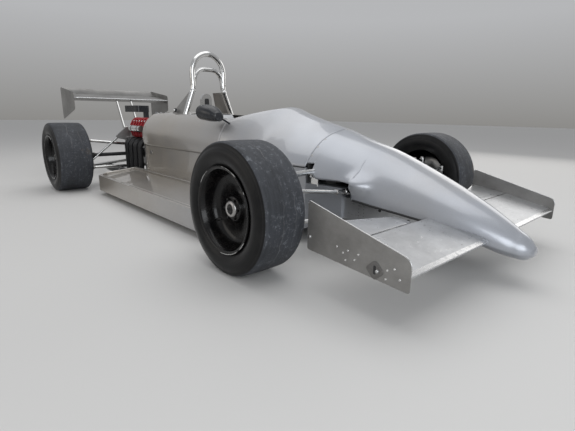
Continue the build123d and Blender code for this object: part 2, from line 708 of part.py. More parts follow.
# Oil cylinder: a bright canister beside the head cover, on two straps
canister_y = -engine_half_width - 174
canister_z = engine_top_z + 48
with BuildPart() as oil_cylinder:
    add(tube(
        (engine_front_x - 76, canister_y, canister_z), (engine_front_x - 286, canister_y, canister_z), 26))
    for x in (engine_front_x - 120, engine_front_x - 240):
        with Locations((x, canister_y + 20, canister_z)):
            Box(16, 48, 24)
    add(cam_covers.part, mode=Mode.SUBTRACT)
oil_cylinder.part.label = "oil_cylinder"
export_step(oil_cylinder.part, "parts/oil_cylinder.step")

# Front suspension: a rocker beam above and a wishbone below, on the hull
kingpin_top_z = front_tyre_radius + kingpin_half_height
kingpin_low_z = front_tyre_radius - kingpin_half_height
monocoque_top_z = 310
with BuildPart() as front_arms:
    for side in (-1, 1):
        ball_top = (front_axle_x, side * kingpin_y, kingpin_top_z + pin_gap + 16)
        ball_low = (front_axle_x, side * kingpin_y, kingpin_low_z - pin_gap - 16)
        add(tube((front_axle_x - 45, side * 262, 385), ball_top, 14))
        with BuildSketch(Plane.XY.offset(monocoque_top_z)):
            with Locations((front_axle_x - 45, side * 262)):
                Rectangle(60, 40)
        extrude(amount=385 - monocoque_top_z)
        for inner_x, inner_y in ((front_axle_x - 120, 302), (front_axle_x + 80, 252)):
            add(tube((inner_x, side * inner_y, 165), ball_low, 12))
        for x, y, z in (ball_top, ball_low):
            with BuildSketch(Plane.XY.offset(z)):
                with Locations((x, y)):
                    Circle(20)
            extrude(amount=16, both=True)
    add(monocoque_tub.part, mode=Mode.SUBTRACT)
front_arms.part.label = "front_arms"
export_step(front_arms.part, "parts/front_arms.step")


def wheel_spin_axis(x, y, z):
    """The line that a wheel turns about."""
    return Axis((x, y, z), (0, 1, 0))


# Uprights: the bearing housing and its post between the two ball joints
bearing_in_y = 655
bearing_out_y = 722
for side, name in ((-1, "front_upright_right"), (1, "front_upright_left")):
    with BuildPart() as upright:
        with BuildSketch(Plane.XZ.offset(-side * bearing_in_y)):
            with Locations((front_axle_x, front_tyre_radius)):
                Circle(50)
        extrude(amount=-side * (bearing_out_y - bearing_in_y))
        with BuildSketch(Plane.XY.offset(kingpin_low_z)):
            with Locations((front_axle_x, side * kingpin_y)):
                Rectangle(56, 34)
        extrude(amount=2 * kingpin_half_height)
        with BuildSketch(Plane.XY.offset(steer_arm_z - 16)):
            with BuildLine():
                tip_x = front_axle_x + steer_arm_forward
                tip_y = side * (kingpin_y - steer_arm_inboard)
                Polyline(
                    (front_axle_x, side * (kingpin_y + 12)), (front_axle_x, side * (kingpin_y - 17)),
                    (front_axle_x + 60, side * (kingpin_y - steer_arm_inboard - 8)),
                    (tip_x, tip_y - side * 12), (tip_x, tip_y + side * 12),
                    (front_axle_x + 80, side * (kingpin_y - 38)), close=True)
            make_face()
            with Locations((tip_x, tip_y)):
                Circle(13)
        extrude(amount=16 - 8)
        with BuildSketch(Plane.XZ.offset(-side * (bearing_in_y - 1))):
            with Locations((front_axle_x, front_tyre_radius)):
                Circle(hub_radius + bearing_clearance)
        extrude(amount=-side * (bearing_out_y - bearing_in_y + 2), mode=Mode.SUBTRACT)
    upright.part.label = name
    export_step(upright.part, f"parts/{name}.step")

with BuildPart() as rear_uprights:
    for side in (-1, 1):
        with BuildSketch(Plane.XZ.offset(-side * bearing_in_y)):
            with Locations((rear_axle_x, rear_tyre_radius)):
                Circle(56)
                Rectangle(70, 280)
            with Locations((rear_axle_x + 14, rear_tyre_radius - 96)):
                Rectangle(130, 44)
        extrude(amount=-side * (bearing_out_y - bearing_in_y))
        with BuildSketch(Plane.XZ.offset(-side * (bearing_in_y - 1))):
            with Locations((rear_axle_x, rear_tyre_radius)):
                Circle(hub_radius + bearing_clearance)
        extrude(amount=-side * (bearing_out_y - bearing_in_y + 2), mode=Mode.SUBTRACT)
rear_uprights.part.label = "rear_uprights"
export_step(rear_uprights.part, "parts/rear_uprights.step")

# Steering rack across the crash box, with a tie rod hinged at each end
with BuildPart() as steering_rack:
    add(tube((rack_x, -rack_end_y + 12, rack_z), (rack_x, rack_end_y - 12, rack_z), rack_radius))
steering_rack.part.label = "steering_rack"
export_step(steering_rack.part, "parts/steering_rack.step")

for side, name in ((-1, "tie_rod_right"), (1, "tie_rod_left")):
    eye_z = steer_arm_z - 8 + pin_gap
    eye_x = front_axle_x + steer_arm_forward
    eye_y = side * (kingpin_y - steer_arm_inboard)
    with BuildPart() as tie_rod:
        with BuildSketch(Plane.XY.offset(eye_z)):
            with Locations((eye_x, eye_y)):
                Circle(13)
        extrude(amount=24)
        add(tube((rack_x, side * (rack_end_y - 10), rack_z), (eye_x, eye_y, eye_z + 12), tie_rod_radius))
    tie_rod.part.label = name
    export_step(tie_rod.part, f"parts/{name}.step")

# Rear suspension: links between the uprights and the gearbox, and a pushrod up to each rocker
rocker_x = rear_axle_x + 34
rocker_y = 370
rocker_z = 436
upright_face_y = bearing_in_y - 1
with BuildPart() as rear_links:
    for side in (-1, 1):
        for start, end, radius in (
                ((rear_axle_x, side * upright_face_y, 412), (rear_axle_x, side * 90, 345), 13),
                ((rear_axle_x + 48, side * upright_face_y, 180), (rear_axle_x + 48, side * 90, 168), 13),
                ((rear_axle_x - 40, side * upright_face_y, 180), (rear_axle_x - 310, side * 90, 190), 13),
                ((rocker_x, side * upright_face_y, 205), (rocker_x, side * (rocker_y + 8), rocker_z - 8), 9)):
            add(tube(start, end, radius))
    add(rear_uprights.part, mode=Mode.SUBTRACT)
    add(gearbox.part, mode=Mode.SUBTRACT)
rear_links.part.label = "rear_links"
export_step(rear_links.part, "parts/rear_links.step")

# Rockers: a plate on each side of a cross bar over the gearbox, which works the coil springs
with BuildPart() as rear_rockers:
    add(tube((rocker_x, -300, rocker_z - 10), (rocker_x, 300, rocker_z - 10), 16))
    for side in (-1, 1):
        with BuildSketch(Plane.YZ.offset(rocker_x - 9)):
            with BuildLine():
                Polyline(
                    (side * (rocker_y + 14), rocker_z + 8), (side * (rocker_y + 14), rocker_z - 12),
                    (side * 292, rocker_z - 32), (side * 262, rocker_z - 10), (side * 262, rocker_z + 84),
                    (side * 292, rocker_z + 84), close=True)
            make_face()
        extrude(amount=18)
    with Locations((rocker_x, 0, rocker_z - 18)):
        Box(60, 130, 44)
    add(gearbox.part, mode=Mode.SUBTRACT)
    add(rear_links.part, mode=Mode.SUBTRACT)
rear_rockers.part.label = "rear_rockers"
export_step(rear_rockers.part, "parts/rear_rockers.step")

with BuildPart() as rear_dampers:
    for side in (-1, 1):
        top = Vector(rocker_x - 9 - pin_gap, side * 277, rocker_z + 66)
        foot = Vector(rear_axle_x - 330, side * 150, gearbox_top_z + 34)
        run = foot - top
        add(tube(top, foot, 11))
        add(tube(top + run * 0.12, top + run * 0.72, 34))
        with Locations((foot.X, side * 110, foot.Z - 8)):
            Box(34, 100, 60)
    add(gearbox.part, mode=Mode.SUBTRACT)
    add(rear_rockers.part, mode=Mode.SUBTRACT)
rear_dampers.part.label = "rear_dampers"
export_step(rear_dampers.part, "parts/rear_dampers.step")

with BuildPart() as driveshafts:
    for side in (-1, 1):
        add(tube(
            (rear_axle_x, side * 90, rear_tyre_radius),
            (rear_axle_x, side * upright_face_y, rear_tyre_radius), 16))
    add(gearbox.part, mode=Mode.SUBTRACT)
driveshafts.part.label = "driveshafts"
export_step(driveshafts.part, "parts/driveshafts.step")


def wheel_pair(axle_x, radius, width, outer_y, end):
    """The rims and tyres of one axle: both revolved about the axle's line."""
    for side, hand in ((-1, "right"), (1, "left")):
        centre_y = side * (outer_y - width / 2)
        spin = wheel_spin_axis(axle_x, centre_y, radius)
        half = width / 2
        bead = half - 8
        plane = Plane(origin=(axle_x, centre_y, radius), x_dir=(0, side, 0), z_dir=(side, 0, 0))
        side_line = (
            (half, flange_radius + bearing_clearance), (half, radius - tyre_shoulder),
            (half - tyre_shoulder, radius))
        with BuildPart() as tyre:
            with BuildSketch(plane):
                with BuildLine():
                    Polyline(*side_line, *[(-y, r) for y, r in reversed(side_line)], close=True)
                make_face()
            revolve(axis=spin)
        name = f"{end}_tyre_{hand}"
        tyre.part.label = name
        export_step(tyre.part, f"parts/{name}.step")
        dish = half - dish_depth
        nut_y = half - nut_depth
        hub_in = bearing_in_y + 8 - (outer_y - half)
        with BuildPart() as rim:
            with BuildSketch(plane):
                with BuildLine():
                    Polyline(
                        (-bead - 6, flange_radius), (-bead, flange_radius), (-bead, bead_radius),
                        (bead, bead_radius), (bead, flange_radius), (bead + 6, flange_radius),
                        (bead + 6, bead_radius - rim_wall + 5), (dish + 40, bead_radius - rim_wall - 6),
                        (dish + 20, 110), (dish + 14, 62), (nut_y, nut_radius + 8), (nut_y, 0),
                        (hub_in, 0), (hub_in, hub_radius), (dish - 42, hub_radius),
                        (dish - 42, disc_radius), (dish - 42 + disc_thickness, disc_radius),
                        (dish - 42 + disc_thickness, 60), (dish, 58), (dish + 6, 112),
                        (dish + 20, bead_radius - rim_wall - 8), (-bead - 6, bead_radius - rim_wall),
                        close=True)
                make_face()
            revolve(axis=spin)
        name = f"{end}_rim_{hand}"
        rim.part.label = name
        export_step(rim.part, f"parts/{name}.step")


wheel_pair(front_axle_x, front_tyre_radius, front_tyre_width, front_outer_y, "front")
wheel_pair(rear_axle_x, rear_tyre_radius, rear_tyre_width, rear_outer_y, "rear")
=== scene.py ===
import json

import bpy
import numpy as np
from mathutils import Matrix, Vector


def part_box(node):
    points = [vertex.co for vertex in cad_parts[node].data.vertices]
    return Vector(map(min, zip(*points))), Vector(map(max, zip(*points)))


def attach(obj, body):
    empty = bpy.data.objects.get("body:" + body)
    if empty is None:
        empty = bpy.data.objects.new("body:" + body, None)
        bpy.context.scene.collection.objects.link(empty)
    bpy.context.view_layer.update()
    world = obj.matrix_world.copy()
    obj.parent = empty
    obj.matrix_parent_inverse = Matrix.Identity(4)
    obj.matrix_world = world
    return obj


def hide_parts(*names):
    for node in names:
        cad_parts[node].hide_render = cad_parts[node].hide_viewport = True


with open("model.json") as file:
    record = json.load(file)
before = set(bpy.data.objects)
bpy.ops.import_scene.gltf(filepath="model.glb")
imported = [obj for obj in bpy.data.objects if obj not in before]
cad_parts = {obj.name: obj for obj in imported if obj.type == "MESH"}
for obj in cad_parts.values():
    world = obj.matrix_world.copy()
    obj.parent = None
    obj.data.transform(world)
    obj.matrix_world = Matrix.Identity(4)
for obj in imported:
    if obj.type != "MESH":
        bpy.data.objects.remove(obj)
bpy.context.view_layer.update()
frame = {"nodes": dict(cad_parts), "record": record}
nodes = frame["nodes"]
scene = bpy.context.scene

# Camera
# A wide phone lens held low off the right front corner, looking back over the right front wheel.
camera_place = np.array((2.6956, -1.7101, 0.6578))
camera_forward = np.array((-0.71461, 0.65454, -0.24680))
camera_roll = 0.0151
camera_data = bpy.data.cameras.new("view")
camera_data.lens = 24.975
camera_data.sensor_width = 36
camera_data.clip_start = 0.05
forward = camera_forward / np.linalg.norm(camera_forward)
level_right = np.cross(forward, (0, 0, 1))
level_right /= np.linalg.norm(level_right)
level_up = np.cross(level_right, forward)
right = np.cos(camera_roll) * level_right + np.sin(camera_roll) * level_up
up = np.cross(right, forward)
camera = bpy.data.objects.new("view", camera_data)
placing = np.eye(4)
placing[:3, :3] = np.stack((right, up, -forward), axis=1)
placing[:3, 3] = camera_place
camera.matrix_world = placing.T.tolist()
scene.collection.objects.link(camera)
scene.camera = camera
scene.view_settings.view_transform = "Standard"


# Studio
# A pale floor in a pale surround, lit by a wide door of daylight behind the camera, a soft ceiling
# and two weak warm walls.
def shader_material(name, base, metallic=0.0, roughness=0.5):
    """A Principled material with its values on the shader's own sockets."""
    material = bpy.data.materials.new(name)
    material.use_nodes = True
    shader = material.node_tree.nodes["Principled BSDF"]
    shader.inputs["Base Color"].default_value = (*base, 1)
    shader.inputs["Metallic"].default_value = metallic
    shader.inputs["Roughness"].default_value = roughness
    return material, shader


floor_half = 30
floor_mesh = bpy.data.meshes.new("floor")
floor_mesh.from_pydata(
    [(-floor_half, -floor_half, 0), (floor_half, -floor_half, 0), (floor_half, floor_half, 0),
     (-floor_half, floor_half, 0)], [], [(0, 1, 2, 3)])
floor = bpy.data.objects.new("floor", floor_mesh)
scene.collection.objects.link(floor)
floor_material = shader_material("pale_floor", (0.60, 0.595, 0.585), roughness=0.75)[0]
floor_mesh.materials.append(floor_material)

world = bpy.data.worlds.new("surround")
world.use_nodes = True
scene.world = world
sky = world.node_tree.nodes
sky_links = world.node_tree.links
background = sky["Background"]
sky_place = sky.new("ShaderNodeTexCoord")
sky_height = sky.new("ShaderNodeSeparateXYZ")
sky_ramp = sky.new("ShaderNodeValToRGB")
sky_ramp.color_ramp.elements[0].position = 0.48
sky_ramp.color_ramp.elements[0].color = (0.42, 0.41, 0.39, 1)
sky_ramp.color_ramp.elements[1].position = 0.60
sky_ramp.color_ramp.elements[1].color = (0.80, 0.81, 0.83, 1)
sky_half = sky.new("ShaderNodeMath")
sky_half.operation = "MULTIPLY_ADD"
sky_half.inputs[1].default_value = 0.5
sky_half.inputs[2].default_value = 0.5
sky_links.new(sky_place.outputs["Generated"], sky_height.inputs[0])
sky_links.new(sky_height.outputs["Z"], sky_half.inputs[0])
sky_links.new(sky_half.outputs[0], sky_ramp.inputs[0])
sky_links.new(sky_ramp.outputs[0], background.inputs["Color"])
background.inputs["Strength"].default_value = 0.58


def soft_light(name, place, aim, width, height, watts, colour=(1, 1, 1)):
    """A rectangular lamp at a place, turned to face another place."""
    lamp_data = bpy.data.lights.new(name, "AREA")
    lamp_data.shape = "RECTANGLE"
    lamp_data.size = width
    lamp_data.size_y = height
    lamp_data.energy = watts
    lamp_data.color = colour
    lamp = bpy.data.objects.new(name, lamp_data)
    away = np.array(place, float) - np.array(aim, float)
    away /= np.linalg.norm(away)
    side = np.cross((0, 0, 1), away) if abs(away[2]) < 0.99 else np.array((1.0, 0, 0))
    side /= np.linalg.norm(side)
    turned = np.eye(4)
    turned[:3, :3] = np.stack((side, np.cross(away, side), away), axis=1)
    turned[:3, 3] = place
    lamp.matrix_world = turned.T.tolist()
    scene.collection.objects.link(lamp)


soft_light("ceiling", (0.2, 0.3, 4.6), (0.0, 0, 0), 7.0, 4.5, 125)
soft_light("daylight_door", (6.2, -2.6, 2.2), (0.6, 0, 0.4), 4.5, 3.0, 135, (0.93, 0.965, 1.0))
soft_light("right_wall", (-1.4, -5.6, 2.2), (-0.4, 0, 0.4), 4.5, 2.6, 34, (1.0, 0.93, 0.84))
soft_light("left_wall", (0.8, 5.6, 2.4), (0.6, 0, 0.4), 5.0, 2.6, 55, (1.0, 0.98, 0.95))


# Nose
# A long glass fibre moulding in silver paint, lifted off for transport and held by small quick
# fasteners along the raised lip at its rear. It is open below over the crash box.
def skin(name, points, wrap=False, keep=None, flip=False):
    """A mesh over a grid of points, rows by columns, with a UV map that follows the grid.

    wrap joins the last column to the first, keep is an array that says which faces stay, and flip
    turns their outer side round.
    """
    rows, columns = points.shape[:2]
    index = np.arange(rows * columns).reshape(rows, columns)
    if wrap:
        index = np.hstack((index, index[:, :1]))
    along, across = np.meshgrid(
        np.linspace(0, 1, index.shape[0]), np.linspace(0, 1, index.shape[1]), indexing="ij")
    place = np.stack((along, across), axis=-1)

    def corners(grid):
        """The four corners of every face, in order."""
        return np.stack((grid[:-1, :-1], grid[1:, :-1], grid[1:, 1:], grid[:-1, 1:]), axis=2)

    faces, spots = corners(index), corners(place)
    if keep is not None:
        faces, spots = faces[keep], spots[keep]
    faces, spots = faces.reshape(-1, 4), spots.reshape(-1, 4, 2)
    if flip:
        faces, spots = faces[:, ::-1], spots[:, ::-1]
    used, faces = np.unique(faces, return_inverse=True)
    faces = faces.reshape(-1, 4)
    mesh = bpy.data.meshes.new(name)
    mesh.from_pydata(points.reshape(-1, 3)[used], [], faces.tolist())
    layer = mesh.uv_layers.new(name="grid")
    layer.data.foreach_set("uv", np.ascontiguousarray(spots, dtype=np.float32).ravel())
    mesh.shade_smooth()
    mesh.update()
    return mesh


def fit(mesh, body, material, slot, *replaced):
    """Adds a mesh as a piece of the same name that rides on a body and stands for the nodes named.

    A mesh that has its materials already comes with None.
    """
    piece = bpy.data.objects.new(mesh.name, mesh)
    scene.collection.objects.link(piece)
    if material:
        mesh.materials.append(material)
    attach(piece, body)
    if replaced:
        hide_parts(*replaced)
    return piece


def through(stations, places, values):
    """Values between the rows of a table, on cubic curves whose slopes are the rows' own gradients."""
    places, values = np.asarray(places, float), np.asarray(values, float)
    slopes = np.gradient(values, places, axis=0)
    low = np.clip(np.searchsorted(places, stations) - 1, 0, len(places) - 2)
    width = (places[low + 1] - places[low])[:, None]
    t = (np.asarray(stations) - places[low])[:, None] / width
    return ((2 * t**3 - 3 * t**2 + 1) * values[low] + (t**3 - 2 * t**2 + t) * width * slopes[low]
            + (3 * t**2 - 2 * t**3) * values[low + 1] + (t**3 - t**2) * width * slopes[low + 1])


def soften(half, columns):
    """Rounds the corners along the columns with a bell of that width, keeping the two end columns."""
    reach = int(3 * columns) + 1
    bell = np.exp(-0.5 * (np.arange(-reach, reach + 1) / columns) ** 2)
    bell /= bell.sum()
    first = 2 * half[:, :1] - half[:, reach:0:-1]
    last = 2 * half[:, -1:] - half[:, -2:-reach - 2:-1]
    padded = np.concatenate((first, half, last), axis=1)
    windows = np.lib.stride_tricks.sliding_window_view(padded, 2 * reach + 1, axis=1)
    return windows @ bell


def body_grid(stations, rows, rim_share, cut_z, crown_columns, side_columns, edge_softness):
    """Cross sections of the bodywork: a parabolic crown between two ridges and a bowed side below each.

    rows hold crown height, ridge half width and height, edge half width and height, and bow.
    rim_share is where the cockpit's rim crosses the crown, and cut_z is where each side stops.
    """
    top_z, ridge_y, ridge_z, edge_y, edge_z, bow = rows[:, :6].T[:, :, None]
    inner = rim_share[:, None] * np.linspace(0, 1, crown_columns[0])[None, :]
    outer_steps = np.linspace(0, 1, crown_columns[1] + 1)[None, 1:]
    outer = rim_share[:, None] + (1 - rim_share[:, None]) * outer_steps
    a = np.concatenate((inner, outer), axis=1)
    crown_y, crown_z = a * ridge_y, top_z - (top_z - ridge_z) * a**2
    run = np.hypot(edge_y - ridge_y, ridge_z - edge_z)
    bend_y = (ridge_y + edge_y) / 2 + 2 * bow * (ridge_z - edge_z) / run
    bend_z = (ridge_z + edge_z) / 2 + 2 * bow * (edge_y - ridge_y) / run
    curve, slope = ridge_z - 2 * bend_z + edge_z, 2 * (bend_z - ridge_z)
    gap = ridge_z - np.maximum(cut_z[:, None], edge_z)
    stop = np.where(
        np.abs(curve) > 1e-9,
        (-slope - np.sqrt(np.maximum(slope**2 - 4 * curve * gap, 0))) / np.where(curve == 0, 1, 2 * curve),
        -gap / slope)
    stop = np.where((stop > 0) & (stop <= 1.0001), stop, 1.0)
    s = stop * np.linspace(0, 1, side_columns + 1)[None, 1:]
    side_y = (1 - s)**2 * ridge_y + 2 * s * (1 - s) * bend_y + s**2 * edge_y
    side_z = (1 - s)**2 * ridge_z + 2 * s * (1 - s) * bend_z + s**2 * edge_z
    half_y = np.concatenate((crown_y, side_y), axis=1)
    half_z = np.concatenate((crown_z, side_z), axis=1)
    full_y = soften(np.concatenate((-half_y[:, :0:-1], half_y), axis=1), edge_softness)
    full_z = soften(np.concatenate((half_z[:, :0:-1], half_z), axis=1), edge_softness)
    full_x = np.repeat(stations[:, None], full_y.shape[1], axis=1)
    return np.stack((full_x, full_y, full_z), axis=-1)


def mix_node(tree, first, second, factor):
    """A colour mix of two sockets or colours by a factor socket."""
    mix = tree.nodes.new("ShaderNodeMix")
    mix.data_type = "RGBA"
    for socket, value in ((mix.inputs[6], first), (mix.inputs[7], second)):
        if isinstance(value, tuple):
            socket.default_value = (*value, 1)
        else:
            tree.links.new(value, socket)
    tree.links.new(factor, mix.inputs[0])
    return mix.outputs[2]


def noise_node(tree, scale, detail=4.0, roughness=0.55, stretch=None, source="Object"):
    """A noise in object space, or in the grid's own UV map, with an optional stretch of its axes."""
    place = tree.nodes.new("ShaderNodeTexCoord")
    socket = place.outputs[source]
    if stretch:
        mapping = tree.nodes.new("ShaderNodeMapping")
        mapping.inputs["Scale"].default_value = stretch
        tree.links.new(socket, mapping.inputs["Vector"])
        socket = mapping.outputs["Vector"]
    noise = tree.nodes.new("ShaderNodeTexNoise")
    noise.inputs["Scale"].default_value = scale
    noise.inputs["Detail"].default_value = detail
    noise.inputs["Roughness"].default_value = roughness
    tree.links.new(socket, noise.inputs["Vector"])
    return noise.outputs["Fac"]


def ramp_node(tree, source, low, high, from_value=0.0, to_value=1.0):
    """Spreads a socket's values between low and high over another range."""
    spread = tree.nodes.new("ShaderNodeMapRange")
    spread.inputs["From Min"].default_value = low
    spread.inputs["From Max"].default_value = high
    spread.inputs["To Min"].default_value = from_value
    spread.inputs["To Max"].default_value = to_value
    tree.links.new(source, spread.inputs["Value"])
    return spread.outputs["Result"]


def math_node(tree, operation, first, second):
    """One sum, product or other operation on a socket and a socket or number."""
    node = tree.nodes.new("ShaderNodeMath")
    node.operation = operation
    tree.links.new(first, node.inputs[0])
    if isinstance(second, float):
        node.inputs[1].default_value = second
    else:
        tree.links.new(second, node.inputs[1])
    return node.outputs[0]


def along_node(tree, axis, source="Object"):
    """One of the object's own coordinates, in metres, or one direction of its grid, from 0 to 1."""
    place = tree.nodes.new("ShaderNodeTexCoord")
    parts = tree.nodes.new("ShaderNodeSeparateXYZ")
    tree.links.new(place.outputs[source], parts.inputs[0])
    return parts.outputs[axis]


def bump_node(tree, shader, height, strength, distance):
    """Raises the surface's shading by a height socket."""
    bump = tree.nodes.new("ShaderNodeBump")
    bump.inputs["Strength"].default_value = strength
    bump.inputs["Distance"].default_value = distance
    tree.links.new(height, bump.inputs["Height"])
    tree.links.new(bump.outputs["Normal"], shader.inputs["Normal"])


def silver_paint():
    """Silver metallic lacquer: fine flake, a painted reflection tint from cool blue at the nose to warm
    beige at the rear, dulled by dust.
    """
    material, shader = shader_material("silver_paint", (0.5, 0.5, 0.5), 0.55, 0.36)
    tree = material.node_tree
    flake = ramp_node(tree, noise_node(tree, 900, 1.0), 0.35, 0.65)
    speck = mix_node(tree, (0.335, 0.336, 0.340), (0.425, 0.427, 0.431), flake)
    # Painted reflection: the colour runs from cool blue at the nose to warm beige at the rear, with a faint
    # random drift, as the surroundings would reflect in the lacquer.
    painted_reflection_share = math_node(
        tree, "ADD", ramp_node(tree, along_node(tree, "X"), 1.25, -0.2),
        ramp_node(tree, noise_node(tree, 1.8, 4.0), 0.3, 0.7, -0.2, 0.2))
    painted_reflection_tint = mix_node(tree, (0.94, 0.98, 1.06), (1.0, 0.915, 0.80), painted_reflection_share)
    blend = tree.nodes.new("ShaderNodeMix")
    blend.data_type = "RGBA"
    blend.blend_type = "MULTIPLY"
    blend.inputs[0].default_value = 1
    tree.links.new(speck, blend.inputs[6])
    tree.links.new(painted_reflection_tint, blend.inputs[7])
    scuffs = ramp_node(tree, noise_node(tree, 16, 9.0, 0.75, (1.0, 3.0, 3.0)), 0.68, 0.80, 0.0, 0.35)
    base = mix_node(tree, blend.outputs[2], (0.36, 0.355, 0.35), scuffs)
    tree.links.new(base, shader.inputs["Base Color"])
    dust = noise_node(tree, 7, 6.0, 0.65)
    tree.links.new(ramp_node(tree, dust, 0.3, 0.75, 0.30, 0.46), shader.inputs["Roughness"])
    shader.inputs["Coat Weight"].default_value = 0.8
    shader.inputs["Coat Roughness"].default_value = 0.05
    bump_node(tree, shader, noise_node(tree, 9, 3.0), 0.10, 0.004)
    return material


def metal_finish(name, base, roughness, dull_share=0.72, stretch=(1.0, 1.0, 0.15), scratch=0.05):
    """Bright metal with fine scratches along one way and a few dull spots."""
    material, shader = shader_material(name, base, 1.0, roughness)
    tree = material.node_tree
    scratches = noise_node(tree, 300, 3.0, 0.6, stretch)
    spots = ramp_node(tree, noise_node(tree, 30, 6.0, 0.7), 0.50, 0.80)
    dull = tuple(dull_share * value for value in base)
    tree.links.new(mix_node(tree, base, dull, spots), shader.inputs["Base Color"])
    tree.links.new(ramp_node(tree, spots, 0, 1, roughness, roughness + 0.22), shader.inputs["Roughness"])
    bump_node(tree, shader, scratches, scratch, 0.0004)
    return material


def raised(grid, height, flip=1):
    """A grid moved out along its own normals, which are the cross product of its two gradients."""
    normal = np.cross(np.gradient(grid, axis=0), np.gradient(grid, axis=1))
    normal /= np.maximum(np.linalg.norm(normal, axis=-1, keepdims=True), 1e-12)
    return grid + flip * height * normal, flip * normal


dome_head = ((0.0, 1.0), (0.55, 0.92), (0.88, 0.6), (1.0, 0.0))


def studs(name, places, directions, radius, height, sides=10, outline=dome_head):
    """Small round heads joined in one mesh: an outline of height and radius turned about each direction.

    directions may be one for all of them.
    """
    places = np.asarray(places, float)
    directions = np.broadcast_to(np.asarray(directions, float), places.shape)
    directions = directions / np.linalg.norm(directions, axis=1, keepdims=True)
    ground = np.where(np.abs(directions[:, 2:3]) < 0.8, (0.0, 0.0, 1.0), (1.0, 0.0, 0.0))
    first = np.cross(ground, directions)
    first /= np.linalg.norm(first, axis=1, keepdims=True)
    second = np.cross(directions, first)
    shape = np.asarray(outline, float)
    turn = np.linspace(0, 2 * np.pi, sides, endpoint=False)
    reach = radius * shape[None, :, 1, None, None]
    lift = height * shape[None, :, 0, None, None]
    turn = turn[None, None, :, None]
    spin = np.cos(turn) * first[:, None, None] + np.sin(turn) * second[:, None, None]
    grid = places[:, None, None] + reach * spin + lift * directions[:, None, None]
    keep = np.ones((len(places), len(shape)), bool)
    keep[:, -1] = False
    keep = np.repeat(keep.reshape(-1)[:-1, None], sides, axis=1)
    return skin(name, grid.reshape(-1, sides, 3), wrap=True, keep=keep)


paint = silver_paint()
steel = metal_finish("dull_steel", (0.42, 0.41, 0.40), 0.32)
nose_low, nose_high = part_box("nose_cone")
nose_rear_x, nose_tip_x = nose_low.x, nose_high.x
nose_length = nose_tip_x - nose_rear_x
crash_box_front_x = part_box("crash_box")[1].x
# Columns: share of the length, crown z, ridge half width, ridge z, edge half width, edge z, bow, belly z
nose_table = np.array((
    (0.000, 0.579, 0.050, 0.572, 0.306, 0.398, 0.038, 0.396),
    (0.147, 0.536, 0.054, 0.529, 0.284, 0.300, 0.046, 0.298),
    (0.322, 0.488, 0.060, 0.480, 0.246, 0.264, 0.044, 0.260),
    (0.516, 0.416, 0.063, 0.407, 0.198, 0.236, 0.035, 0.228),
    (0.696, 0.341, 0.056, 0.332, 0.156, 0.208, 0.028, 0.186),
    (0.836, 0.275, 0.042, 0.267, 0.112, 0.170, 0.022, 0.130),
    (0.928, 0.222, 0.030, 0.215, 0.076, 0.150, 0.014, 0.113),
    (0.979, 0.188, 0.024, 0.182, 0.048, 0.141, 0.008, 0.117),
    (1.000, 0.162, 0.012, 0.160, 0.022, 0.143, 0.003, 0.135),
))
notch_front_x = nose_rear_x + 0.036
arch_front_x = nose_rear_x + 0.260
notch_z, sill_z = 0.420, 0.348
nose_thickness = 0.004
nose_crown_columns, nose_side_columns, nose_softness = (12, 10), 40, 1.3
nose_stations = np.unique(np.concatenate((
    np.linspace(nose_rear_x, nose_tip_x, 150),
    notch_front_x + np.array((-0.0005, 0.0005)), arch_front_x + np.array((-0.0006, 0.0, 0.004, 0.01)),
    (crash_box_front_x,))))
nose_rows = through((nose_stations - nose_rear_x) / nose_length, nose_table[:, 0], nose_table[:, 1:])
lower_edge = np.where(
    nose_stations < notch_front_x, notch_z,
    np.where(nose_stations < arch_front_x, sill_z, nose_rows[:, 4]))
nose_grid = body_grid(
    nose_stations, nose_rows, np.full(len(nose_stations), 0.5), lower_edge,
    nose_crown_columns, nose_side_columns, nose_softness)
# A blister in each side, at the front end of the opening for the arms
blister_x, blister_z, blister_inner_y = 1.562, 0.346, 0.12
blister_length, blister_height, blister_depth = 0.056, 0.036, 0.042
spread = np.exp(
    -((nose_grid[..., 0] - blister_x) / blister_length) ** 2
    - ((nose_grid[..., 2] - blister_z) / blister_height) ** 2)
in_side = np.abs(nose_grid[..., 1]) > blister_inner_y
nose_grid[..., 1] += np.sign(nose_grid[..., 1]) * blister_depth * spread * in_side
nose_side = nose_grid
belly_turn = np.linspace(0, 1, 22)[1:-1]
edge_left, edge_right = nose_grid[:, -1], nose_grid[:, 0]
belly = edge_left[:, None] + (edge_right - edge_left)[:, None] * belly_turn[None, :, None]
belly_drop = (nose_rows[:, 6] - nose_rows[:, 4])[:, None]
belly[..., 2] += belly_drop * (1 - (1 - 2 * belly_turn[None, :]) ** 2)
nose_grid = np.concatenate((nose_grid, belly), axis=1)
nose_point = np.tile(nose_grid[-1:].mean(axis=1, keepdims=True), (1, nose_grid.shape[1], 1))
nose_point[..., 0] += 0.001
nose_grid = np.concatenate((nose_grid, nose_grid[-1:] * 0.5 + nose_point * 0.5, nose_point), axis=0)
nose_keep = np.ones((nose_grid.shape[0] - 1, nose_grid.shape[1]), bool)
open_rows = nose_stations[:-1] < crash_box_front_x - 1e-6
side_count = nose_grid.shape[1] - len(belly_turn) - 1
nose_keep[:len(open_rows), side_count:] = ~open_rows[:, None]
nose_mesh = skin("nose", nose_grid, wrap=True, keep=nose_keep, flip=True)
nose = fit(nose_mesh, "chassis", paint, "body_paint", "nose_cone")
nose_wall = nose.modifiers.new("moulding", "SOLIDIFY")
nose_wall.thickness = nose_thickness
nose_wall.offset = -1

